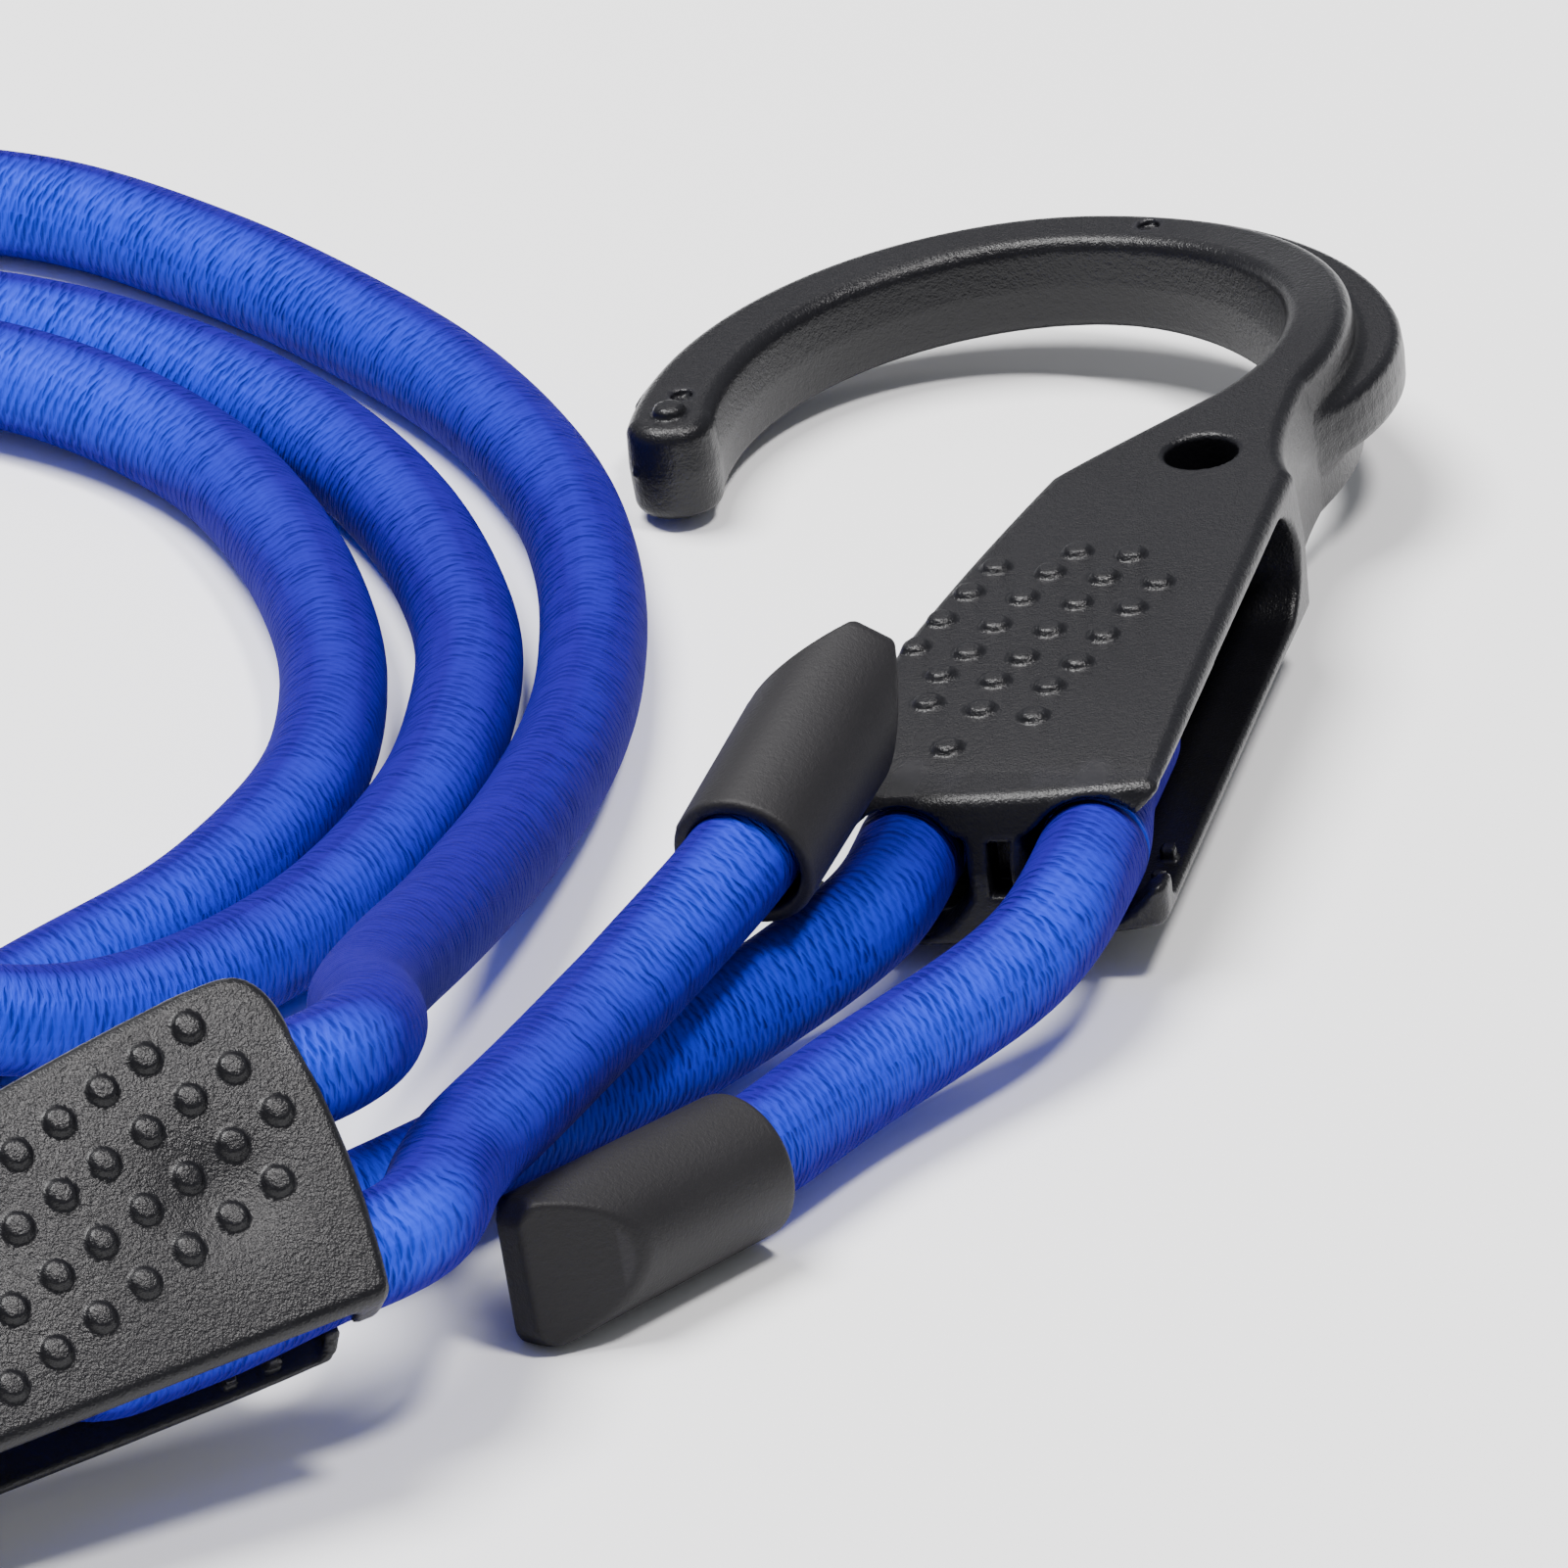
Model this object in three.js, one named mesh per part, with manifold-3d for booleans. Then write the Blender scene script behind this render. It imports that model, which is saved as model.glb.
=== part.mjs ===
// Adjustable bungee cord: one elastic cord, doubled back round a cleat inside a moulded hook at
// each end, with a moulded cap on each tail. Millimetres, +Z up, standing on the plane z = 0.

import * as THREE from "three";
import { mergeVertices } from "three/addons/utils/BufferGeometryUtils.js";
import Module from "manifold-3d";

const wasm = await Module();
wasm.setup();

// Driving dimensions of the cord and of the fits round it
const cordDiameter = 8;
const slipFit = 0.3;
const facetGap = 0.3;
const floorGap = 0.1;
const overrun = 1;
const weldDistance = 1e-4;

// Driving dimensions of the hook's flat body, measured from its mouth along the hook: the right
// side is straight, the left side narrows from the mouth's round corner to the neck
const bodyLength = 50;
const rightReach = 12.3;
const leftReach = 14.4;
const neckReach = 7.1;
const shoulderPlace = 24;
const shoulderReach = 12.8;
const bodyThickness = 12;
const plateThickness = 1.7;
const rimRounding = 0.7;
const windowLength = 48;
const mouthLean = 3;
const mouthCorner = 4.7;
const upperStep = 2.2;

// Driving dimensions of the hook's open ring, its outer rib and its tip
const ringRadius = 19.1;
const ringWidth = 5.4;
const ringOffset = 14.2;
const ringReach = 22.8;
const ringTipHeight = 7.6;
const neckAngle = -100;
const neckInnerAngle = -128;
const ringTipAngle = 110;
const flareStartAngle = 20;
const tipFlareInner = 4.4;
const tipFlareOuter = 6.4;
const ribReach = 3.9;
const ribHeight = 4.6;
const neckHoleDiameter = 5.4;
const neckHoleOffset = 3.8;
const neckFillet = 3.4;
const ribStartAngle = -108;
const ribEndAngle = 98;
const buttonDiameter = 2.5;
const buttonHeight = 0.7;

// Driving dimensions of the cleat, the mouth and the grip
const cleatWidth = 5;
const cleatLength = 20;
const lipThickness = 2.5;
const lipHeight = 2;
const toothSize = 1.2;
const legStraight = 7.5;
const gripBumpDiameter = 2.4;
const gripBumpHeight = 0.7;

// Driving dimensions of the end cap
const capDiameter = 10.8;
const capLength = 23;
const capFloor = 6.5;
const capChamfer = 0.7;
const capRidgeWidth = 3.2;
const capChiselLength = 6;

// Counts of facets
const cordSides = 10;
const coilSides = 6;
const coilStepsPerTurn = 24;
const leadSteps = 14;
const tailSteps = 10;
const bendSteps = 20;
const arcStep = 7;
const cornerSteps = 6;
const roundSides = 24;
const buttonSides = 12;
const bumpSides = 8;
const routeDivisions = 2000;

// Sizes that follow from the cord and from the hook
const cordRadius = cordDiameter / 2;
const legOffset = cordRadius + slipFit + cleatWidth / 2;
const cleatNose = cleatLength - cleatWidth / 2;
const mouthBore = cordRadius + slipFit + slipFit / 3;
const halfThickness = bodyThickness / 2;
const windowHalf = halfThickness - plateThickness;
const slotReach = rightReach + leftReach;
const ringCentre = new THREE.Vector2(bodyLength + ringReach, ringOffset);
const ringOuter = ringRadius + ringWidth;
const tipHalfWidth = (ringWidth + tipFlareOuter - tipFlareInner) / 2;
const tipMiddleRadius = ringRadius + tipFlareInner + tipHalfWidth;
const seamDepth = lipThickness / 2;

// Places of the two hooks: the middle of each mouth, its direction to the ring and its left side
const hookPlaceA = new THREE.Vector3(72.1, -142.8, 7.5);
const hookPlaceB = new THREE.Vector3(22.7, -209.5, 18);
const hookForwardA = new THREE.Vector3(0.2317, 0.9728, 0.0162);
const hookLeftA = new THREE.Vector3(-0.9651, 0.232, -0.1216);
const hookForwardB = new THREE.Vector3(-0.84, -0.533, -0.101);
const hookLeftB = new THREE.Vector3(-0.47, 0.621, 0.627);

// The grip's rows on each plate: the first bump's place along and across the body, the step to
// the next one along and across, as shares of the body's length and right reach, and the count
const upperGripShares = [
  [0.73, 0.15, -0.01, -0.34, 2],
  [0.68, 0.6, -0.016, -0.345, 4],
  [0.6, 0.69, -0.016, -0.345, 4],
  [0.515, 0.78, -0.016, -0.345, 4],
  [0.43, 0.86, -0.016, -0.345, 4],
  [0.345, 0.62, -0.018, -0.345, 3],
  [0.26, 0.62, -0.02, -0.34, 3],
  [0.13, 0.38, -0.02, -0.34, 1],
];
const lowerGripShares = [
  [0.08, 0.92, 0.08, -0.08, 6],
  [0.05, 0.6, 0.08, -0.08, 7],
  [0.023, 0.27, 0.082, -0.082, 8],
  [0.073, -0.11, 0.083, -0.088, 7],
];

// The rib's own shape: how soon it swells to its full reach, and how much is left near the tip
const ribSwellShare = 0.2;
const ribTipShare = 0.25;

// Where the mouth's edge reaches its full lean, as a share of the right side's reach
const mouthBowShare = 0.2;

// How far each cap's ridge is turned about the tail, in degrees
const capTurnA = 60;
const capTurnB = 90;

// Materials
const blackPlastic = { color: 0x1c1c1f, roughness: 0.45, metalness: 0 };
const blueBraid = { color: 0x1740c8, roughness: 0.8, metalness: 0 };

// A closed three.js geometry as a solid for joining and cutting
function solid(geometry) {
  const bare = geometry.clone();
  bare.deleteAttribute("normal");
  bare.deleteAttribute("uv");
  const merged = mergeVertices(bare, weldDistance);
  const vertProperties = new Float32Array(merged.attributes.position.array);
  const triVerts = new Uint32Array(merged.index.array);
  return new wasm.Manifold(new wasm.Mesh({ numProp: 3, vertProperties, triVerts }));
}

// A solid as a three.js geometry
function geometryOf(body) {
  const mesh = body.getMesh();
  const geometry = new THREE.BufferGeometry();
  geometry.setAttribute("position", new THREE.BufferAttribute(mesh.vertProperties, 3));
  geometry.setIndex(new THREE.BufferAttribute(mesh.triVerts, 1));
  geometry.computeVertexNormals();
  return geometry;
}

// A box between two corners
function boxBetween(low, high) {
  const size = new THREE.Vector3().subVectors(high, low);
  const middle = new THREE.Vector3().addVectors(low, high).multiplyScalar(0.5);
  return solid(new THREE.BoxGeometry(size.x, size.y, size.z).translate(middle.x, middle.y, middle.z));
}

// A cylinder from one point to another
function rod(from, to, radius, sides) {
  const along = new THREE.Vector3().subVectors(to, from);
  const geometry = new THREE.CylinderGeometry(radius, radius, along.length(), sides);
  const up = new THREE.Vector3(0, 1, 0);
  geometry.applyQuaternion(new THREE.Quaternion().setFromUnitVectors(up, along.clone().normalize()));
  const middle = new THREE.Vector3().addVectors(from, to).multiplyScalar(0.5);
  return solid(geometry.translate(middle.x, middle.y, middle.z));
}

const point = (x, y, z) => new THREE.Vector3(x, y, z);

// A point of the ring at an angle in degrees from the hook's forward direction
function ringPoint(degrees, radius) {
  const angle = THREE.MathUtils.degToRad(degrees);
  return new THREE.Vector2(
    ringCentre.x + radius * Math.cos(angle),
    ringCentre.y + radius * Math.sin(angle),
  );
}

// Points of an arc round the ring's centre, which opens out towards the tip by a flare
function ringArc(fromDegrees, toDegrees, radius, flare) {
  const count = Math.max(2, Math.round(Math.abs(toDegrees - fromDegrees) / arcStep));
  const points = [];
  for (let i = 0; i <= count; i += 1) {
    const degrees = THREE.MathUtils.lerp(fromDegrees, toDegrees, i / count);
    points.push(ringPoint(degrees, radius + flare * flareShare(degrees)));
  }
  return points;
}

// How much of the tip's flare an angle has: none for the first part of the ring, all at the tip
function flareShare(degrees) {
  const past = (degrees - flareStartAngle) / (ringTipAngle - flareStartAngle);
  return Math.max(0, past) ** 2;
}

// The thickness share of the ring: full at the neck, the tip's height from the far side on
function ringShare(x, y) {
  const angle = THREE.MathUtils.radToDeg(Math.atan2(y - ringCentre.y, x - ringCentre.x));
  const past = THREE.MathUtils.smoothstep(angle, neckAngle, 0);
  const beyond = x > bodyLength || y > leftReach + rimRounding;
  return beyond ? THREE.MathUtils.lerp(1, ringTipHeight / bodyThickness, past) : 1;
}

// Points along the mouth's edge, from its right corner to its round left corner: the edge bows out
// and leans forward on the left, and lies further back by a depth
function mouthEdge(depth) {
  const edge = new THREE.Path();
  edge.moveTo(0, -rightReach);
  edge.quadraticCurveTo(-mouthLean, -rightReach * mouthBowShare, -mouthLean, leftReach - mouthCorner);
  edge.quadraticCurveTo(-mouthLean, leftReach, mouthCorner - mouthLean, leftReach);
  return edge.getPoints(cornerSteps).map((p) => new THREE.Vector2(p.x + depth, p.y));
}

// The hook's plan: body, neck and open ring in one outline, from the mouth's right corner round
function hookOutline() {
  const shape = new THREE.Shape();
  const right = -rightReach;
  const neck = ringPoint(neckAngle, ringOuter);
  const notch = new THREE.Vector2(bodyLength + neckFillet, right + neckFillet);
  shape.moveTo(0, right);
  shape.lineTo(bodyLength, right + rimRounding);
  shape.quadraticCurveTo(notch.x, notch.y, neck.x - neckFillet, neck.y + rimRounding);
  for (const p of ringArc(neckAngle, ringTipAngle, ringOuter, tipFlareOuter)) shape.lineTo(p.x, p.y);
  const tipStart = THREE.MathUtils.degToRad(ringTipAngle);
  const tipMiddle = ringPoint(ringTipAngle, tipMiddleRadius);
  for (let i = 1; i < cornerSteps; i += 1) {
    const turn = tipStart + (Math.PI * i) / cornerSteps;
    const x = tipMiddle.x + tipHalfWidth * Math.cos(turn);
    shape.lineTo(x, tipMiddle.y + tipHalfWidth * Math.sin(turn));
  }
  const inner = ringArc(ringTipAngle, neckInnerAngle, ringRadius, tipFlareInner);
  for (const p of inner) shape.lineTo(p.x, p.y);
  shape.quadraticCurveTo(bodyLength + overrun, neckReach - overrun, bodyLength - overrun, neckReach);
  const corner = mouthEdge(0).reverse();
  shape.quadraticCurveTo(shoulderPlace, shoulderReach, corner[0].x, corner[0].y);
  for (const p of corner.slice(1, -1)) shape.lineTo(p.x, p.y);
  shape.closePath();
  return shape;
}

// A plan pushed out to a thickness about the middle plane, with its rims rounded
function slab(shape, thickness, rounding) {
  const geometry = new THREE.ExtrudeGeometry(shape, {
    depth: thickness - 2 * rounding,
    bevelEnabled: rounding > 0,
    bevelSize: rounding,
    bevelOffset: -rounding,
    bevelThickness: rounding,
    bevelSegments: 2,
    curveSegments: cornerSteps,
  });
  return geometry.translate(0, 0, rounding - thickness / 2);
}

// The ring's height falls from the neck to the tip, alike above and below the middle plane
function fallToTip(geometry) {
  const places = geometry.attributes.position;
  for (let i = 0; i < places.count; i += 1) {
    places.setZ(i, places.getZ(i) * ringShare(places.getX(i), places.getY(i)));
  }
  return geometry;
}

// The rib round the ring's outside: widest beside the neck, fading towards the tip
function outerRib() {
  const shape = new THREE.Shape();
  const count = Math.round((ribEndAngle - ribStartAngle) / arcStep);
  for (let i = 0; i <= count; i += 1) {
    const share = i / count;
    const swell = Math.sin(Math.min(1, share / ribSwellShare) * (Math.PI / 2));
    const fade = swell * THREE.MathUtils.lerp(1, ribTipShare, share);
    const degrees = THREE.MathUtils.lerp(ribStartAngle, ribEndAngle, share);
    const p = ringPoint(degrees, ringOuter + ribReach * fade + tipFlareOuter * flareShare(degrees));
    if (i === 0) shape.moveTo(p.x, p.y);
    else shape.lineTo(p.x, p.y);
  }
  const inner = ringArc(ribEndAngle, ribStartAngle, ringRadius + ringWidth / 2, tipFlareInner);
  for (const p of inner) shape.lineTo(p.x, p.y);
  shape.closePath();
  return solid(slab(shape, ribHeight, rimRounding));
}

// A plan between the mouth's edge, set back by a depth, and a place along the body, cut right
// across the body between two heights
function acrossFrom(depth, end, low, high) {
  const shape = new THREE.Shape();
  shape.moveTo(end, -slotReach);
  shape.lineTo(depth, -slotReach);
  for (const p of mouthEdge(depth)) shape.lineTo(p.x, p.y);
  shape.lineTo(depth + mouthCorner - mouthLean, slotReach);
  shape.lineTo(end, slotReach);
  shape.closePath();
  const geometry = new THREE.ExtrudeGeometry(shape, { depth: high - low, bevelEnabled: false });
  return solid(geometry.translate(0, 0, low));
}

// The cleat between the cord's two legs, from outside the mouth to its round nose
function cleat() {
  const start = -mouthLean - overrun;
  const half = cleatWidth / 2;
  const box = boxBetween(point(start, -half, -halfThickness), point(cleatNose, half, halfThickness));
  const top = point(cleatNose, 0, halfThickness);
  return box.add(rod(point(cleatNose, 0, -halfThickness), top, half, roundSides));
}

// The side windows: a slot right across the body, with a round end, less the cleat
function windows() {
  const end = windowLength - windowHalf;
  const slot = acrossFrom(lipThickness, end, -windowHalf, windowHalf);
  const near = point(end, -slotReach, 0);
  const round = rod(near, near.clone().setY(slotReach), windowHalf, roundSides);
  return slot.add(round).subtract(cleat());
}

// The mouth: a narrower slot between the lips, with an arch for each leg of the cord
function mouth() {
  const lipHalf = windowHalf - lipHeight;
  const outside = -mouthLean - overrun;
  const inside = 2 * lipThickness;
  const low = point(outside, -slotReach, -lipHalf);
  let cut = boxBetween(low, point(inside, slotReach, lipHalf)).subtract(cleat());
  for (const side of [-1, 1]) {
    const from = point(outside, side * legOffset, 0);
    const to = point(inside, side * legOffset, 0);
    cut = cut.add(rod(from, to, mouthBore, roundSides));
  }
  return cut;
}

// What the upper plate lacks at the mouth: its front slants back to a step behind the lower one
function upperSlant() {
  const back = acrossFrom(0, bodyLength, 0, bodyThickness);
  const slant = new THREE.Matrix4().makeShear(0, 0, 0, 0, upperStep / halfThickness, 0);
  const low = point(-mouthLean - overrun, -slotReach, 0);
  const front = boxBetween(low, point(mouthCorner, slotReach, halfThickness + overrun));
  return front.subtract(solid(geometryOf(back).applyMatrix4(slant)));
}

// Small teeth inside the plates, beside each leg, that keep the cord from creeping out sideways
function teeth() {
  const parts = [];
  for (const side of [-1, 1]) {
    for (const face of [-1, 1]) {
      for (let k = 1; k <= 2; k += 1) {
        const x = lipThickness + 2 * k * toothSize;
        const y = side * (rightReach - toothSize);
        const z = face * (windowHalf - toothSize / 2 + slipFit / 2);
        const geometry = new THREE.BoxGeometry(toothSize, toothSize, toothSize + slipFit);
        parts.push(solid(geometry.translate(x, y, z)));
      }
    }
  }
  return parts;
}

// The places of one plate's bumps, from its rows
function gripPlaces(rowShares) {
  return rowShares.flatMap(([along, across, stepAlong, stepAcross, count]) =>
    Array.from({ length: count }, (_, i) => {
      const x = (along + i * stepAlong) * bodyLength;
      return [x, (across + i * stepAcross) * rightReach];
    }),
  );
}

// The grip: low domes in leaning rows across both plates
function gripBumps() {
  const radius = gripBumpDiameter / 2;
  const foot = plateThickness / 2;
  const profile = [new THREE.Vector2(0, -foot), new THREE.Vector2(radius, -foot)];
  for (const turn of [0, Math.PI / 4]) {
    profile.push(new THREE.Vector2(radius * Math.cos(turn), gripBumpHeight * Math.sin(turn)));
  }
  profile.push(new THREE.Vector2(0, gripBumpHeight));
  const parts = [];
  for (const [face, rowShares] of [[1, upperGripShares], [-1, lowerGripShares]]) {
    for (const [x, y] of gripPlaces(rowShares)) {
      const geometry = new THREE.LatheGeometry(profile, bumpSides);
      geometry.rotateX((face * Math.PI) / 2);
      parts.push(solid(geometry.translate(x, y, face * halfThickness)));
    }
  }
  return parts;
}

// The ejector buttons above and below the ring's tip
function tipButtons() {
  const place = ringPoint(ringTipAngle, tipMiddleRadius);
  const reach = ringTipHeight / 2 + buttonHeight;
  const foot = point(place.x, place.y, -reach);
  return rod(foot, foot.clone().setZ(reach), buttonDiameter / 2, buttonSides);
}

// One moulded hook, along +X from its mouth, flat about z = 0, with the ring's tip at +Y
function hookGeometry() {
  let body = solid(fallToTip(slab(hookOutline(), bodyThickness, rimRounding)));
  body = body.add(outerRib()).add(tipButtons());
  body = body.subtract(windows()).subtract(mouth()).subtract(upperSlant());
  const hole = point(bodyLength + neckHoleDiameter / 2, -neckHoleOffset, -bodyThickness);
  const holeTop = hole.clone().setZ(bodyThickness);
  body = body.subtract(rod(hole, holeTop, neckHoleDiameter / 2, roundSides));
  for (const part of [...teeth(), ...gripBumps()]) body = body.add(part);
  return geometryOf(body);
}

// One end cap: a sleeve from z = 0 up, closed by a chisel end whose ridge lies along X
function capGeometry() {
  const outer = capDiameter / 2;
  const bore = cordRadius + slipFit;
  const profile = [
    new THREE.Vector2(0, capLength - capFloor),
    new THREE.Vector2(bore, capLength - capFloor),
    new THREE.Vector2(bore, 0),
    new THREE.Vector2(outer - capChamfer / 2, 0),
    new THREE.Vector2(outer, capChamfer / 2),
    new THREE.Vector2(outer, capLength - capChamfer),
    new THREE.Vector2(outer - capChamfer, capLength),
    new THREE.Vector2(0, capLength),
  ];
  let body = solid(new THREE.LatheGeometry(profile, roundSides).rotateX(Math.PI / 2));
  const fall = Math.atan2(outer - capRidgeWidth / 2, capChiselLength);
  for (const side of [-1, 1]) {
    const geometry = new THREE.BoxGeometry(2 * capDiameter, capDiameter, 2 * capLength);
    geometry.translate(0, side * (capDiameter / 2), 0);
    geometry.rotateX(side * fall);
    geometry.translate(0, (side * capRidgeWidth) / 2, capLength);
    body = body.subtract(solid(geometry));
  }
  return geometryOf(body);
}

// A smooth route through points of the cord's middle line that never dips into the floor
class FloorRoute extends THREE.CatmullRomCurve3 {
  getPoint(t, target) {
    const place = super.getPoint(t, target);
    place.z = Math.max(place.z, floorLine);
    return place;
  }
}

// A part of a longer route, from one length along it to another
class Stretch extends THREE.Curve {
  constructor(route, from, to) {
    super();
    this.route = route;
    this.from = from / route.getLength();
    this.to = to / route.getLength();
  }
  getPoint(t) {
    return this.route.getPointAt(THREE.MathUtils.lerp(this.from, this.to, t));
  }
}

// A round cord along a curve
function cordGeometry(curve, steps, sides) {
  const shape = new THREE.Shape();
  for (let i = 0; i < sides; i += 1) {
    const turn = (2 * Math.PI * i) / sides;
    const x = cordRadius * Math.cos(turn);
    const y = cordRadius * Math.sin(turn);
    if (i === 0) shape.moveTo(x, y);
    else shape.lineTo(x, y);
  }
  shape.closePath();
  return new THREE.ExtrudeGeometry(shape, { steps, extrudePath: curve, bevelEnabled: false });
}

// A hook's own frame as a group: X towards the ring, Y towards the tip's side
function hookGroup(place, forward, left) {
  const x = forward.clone().normalize();
  const z = new THREE.Vector3().crossVectors(x, left).normalize();
  const y = new THREE.Vector3().crossVectors(z, x);
  const group = new THREE.Group();
  group.quaternion.setFromRotationMatrix(new THREE.Matrix4().makeBasis(x, y, z));
  group.position.copy(place);
  group.updateMatrixWorld(true);
  return group;
}

// The lowest point of a geometry that a group carries
function lowestPoint(group, geometry) {
  const placed = geometry.clone().applyMatrix4(group.matrixWorld);
  placed.computeBoundingBox();
  return placed.boundingBox.min.z;
}

function mesh(name, geometry, finish) {
  const made = new THREE.Mesh(geometry, new THREE.MeshStandardMaterial(finish));
  made.name = name;
  return made;
}

// The bend round the cleat, with straight legs out to just inside the mouth
function bendGeometry() {
  const start = seamDepth + facetGap;
  const radius = legOffset;
  const arc = [];
  for (let i = 0; i <= roundSides; i += 1) {
    const turn = Math.PI / 2 - (Math.PI * i) / roundSides;
    arc.push(point(cleatNose + radius * Math.cos(turn), radius * Math.sin(turn), 0));
  }
  const points = [point(start, radius, 0), point((start + cleatNose) / 2, radius, 0), ...arc];
  points.push(point((start + cleatNose) / 2, -radius, 0), point(start, -radius, 0));
  return cordGeometry(new THREE.CatmullRomCurve3(points), bendSteps, cordSides);
}

// Where a leg leaves the hook, from just inside the mouth to the end of its straight run
function leg(group, side) {
  const places = [seamDepth, -legStraight / 2, -legStraight];
  return places.map((x) => group.localToWorld(point(x, side * legOffset, 0)));
}

const hookShape = hookGeometry();
const hookA = hookGroup(hookPlaceA, hookForwardA, hookLeftA);
const hookB = hookGroup(hookPlaceB, hookForwardB, hookLeftB);
for (const group of [hookA, hookB]) {
  group.position.z -= lowestPoint(group, hookShape);
  group.updateMatrixWorld(true);
}

// The cord's middle line where it lies on the floor
const floorLine = cordRadius + floorGap;

// The coil: angle in degrees, radius and height of the cord's middle line about the coil's centre,
// clockwise from where the lead from hook A joins it to where the lead to hook B leaves it
const coilCentre = new THREE.Vector2(-25, -112);
const coilStations = [
  [-82, 102, 4.1],
  [-100, 92, 4.1],
  [-125, 78, 4.1],
  [-150, 69, 4.1],
  [-175, 64.2, 4.1],
  [-200, 61, 4.1],
  [-225, 60.5, 4.1],
  [-250, 63, 4.1],
  [-270, 66.5, 4.1],
  [-290, 67.8, 4.1],
  [-305, 66.7, 4.1],
  [-324, 63.5, 4.1],
  [-347, 60, 4.1],
  [-363, 58, 4.1],
  [-373, 57.5, 4.1],
  [-384, 57.4, 4.1],
  [-395, 58, 4.3],
  [-405, 59.3, 5],
  [-414, 60.8, 6.2],
  [-422, 62.4, 8],
  [-430, 62.9, 10.8],
  [-438, 61.3, 12.9],
  [-447, 58.6, 11.8],
  [-457, 55.6, 7.8],
  [-470, 52.5, 4.1],
  [-490, 49.6, 4.1],
  [-510, 48.3, 4.1],
  [-540, 47, 4.1],
  [-570, 47, 4.1],
  [-600, 51, 4.1],
  [-630, 57, 4.8],
  [-653, 58.4, 5],
  [-672, 56.6, 4.1],
  [-686, 53, 4.1],
  [-700, 50.5, 4.1],
  [-715, 49.1, 4.1],
  [-731, 48.7, 4.1],
  [-741, 48.5, 4.1],
  [-751, 48.8, 4.1],
  [-760, 49.5, 4.1],
  [-768, 50, 4.1],
  [-775, 51.2, 4.1],
  [-782, 53.4, 4.1],
  [-790, 56.8, 4.1],
  [-797.6, 60.2, 4.1],
  [-806, 63.2, 4.1],
  [-815, 64.6, 4.1],
  [-840, 63, 4.1],
  [-863, 57.6, 4.1],
  [-875, 56.8, 4.6],
  [-884, 57.2, 8.4],
  [-893, 58.5, 11.2],
  [-905, 60.8, 12.9],
  [-916, 63.2, 12.9],
  [-927, 66, 11.6],
  [-938, 69.2, 7.8],
  [-950, 72.8, 4.1],
  [-970, 80, 4.1],
  [-988, 86, 4.1],
  [-1006, 87.4, 4.1],
  [-1016, 84.3, 4.1],
  [-1031, 79.6, 4.1],
  [-1042, 76.7, 4.1],
  [-1053, 73.5, 4.1],
  [-1063, 70.6, 4.1],
  [-1075, 67.9, 4.1],
];

// The rest of the cord's route, as points of its middle line
const leadPointsA = [
  [60.2, -153.6, 6.9],
  [55, -158.6, 5.4],
  [49.4, -164.4, 4.3],
  [43.6, -170.1, 4.1],
  [38, -176.1, 4.1],
  [32.4, -182, 4.1],
  [25, -189, 4.1],
  [14, -198.5, 4.1],
  [2, -208, 4.1],
];
const leadPointsB = [
  [42.2, -111.5, 4.3],
  [40.1, -124, 5.2],
  [37, -137.3, 6.8],
  [33, -153, 9.5],
  [29.2, -167.8, 13],
  [27, -181.5, 17.1],
  [28.2, -192, 21.2],
];
const tailPointsA = [
  [74.4, -156.4, 7.5],
  [70.6, -161, 6.9],
  [66.9, -165.3, 6.3],
  [63, -169.8, 5.9],
  [59.2, -174.8, 5.6],
  [53.6, -183.5, 5.6],
  [42.7, -195.6, 5.6],
];
const tailPointsB = [
  [33, -201.5, 14.2],
  [37.6, -190.4, 13.8],
  [42.9, -177.8, 13.2],
  [48.3, -167, 14],
  [54, -156.7, 16],
  [59.6, -143, 19],
];

const toPoint = ([x, y, z]) => point(x, y, z);
const coilPoints = coilStations.map(([degrees, radius, height]) => {
  const angle = THREE.MathUtils.degToRad(degrees);
  const x = coilCentre.x + radius * Math.cos(angle);
  const y = coilCentre.y + radius * Math.sin(angle);
  return point(x, y, height);
});
const mainRoute = new FloorRoute([
  ...leg(hookA, 1),
  ...leadPointsA.map(toPoint),
  ...coilPoints,
  ...leadPointsB.map(toPoint),
  ...leg(hookB, 1).reverse(),
]);
mainRoute.arcLengthDivisions = routeDivisions;
const tailRouteA = new FloorRoute([...leg(hookA, -1), ...tailPointsA.map(toPoint)]);
const tailRouteB = new FloorRoute([...leg(hookB, -1), ...tailPointsB.map(toPoint)]);

// The length along the main route at which it passes nearest a point
function lengthAt(place) {
  let best = 0;
  let least = Infinity;
  for (let i = 0; i <= routeDivisions; i += 1) {
    const gap = mainRoute.getPointAt(i / routeDivisions).distanceTo(place);
    if (gap < least) {
      least = gap;
      best = i / routeDivisions;
    }
  }
  return best * mainRoute.getLength();
}

const coilStart = lengthAt(coilPoints[0]);
const coilEnd = lengthAt(coilPoints[coilPoints.length - 1]);
const turns = (coilStations[0][0] - coilStations[coilStations.length - 1][0]) / 360;
const leadA = new Stretch(mainRoute, 0, coilStart - facetGap / 2);
const coil = new Stretch(mainRoute, coilStart + facetGap / 2, coilEnd - facetGap / 2);
const leadB = new Stretch(mainRoute, coilEnd + facetGap / 2, mainRoute.getLength());

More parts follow.
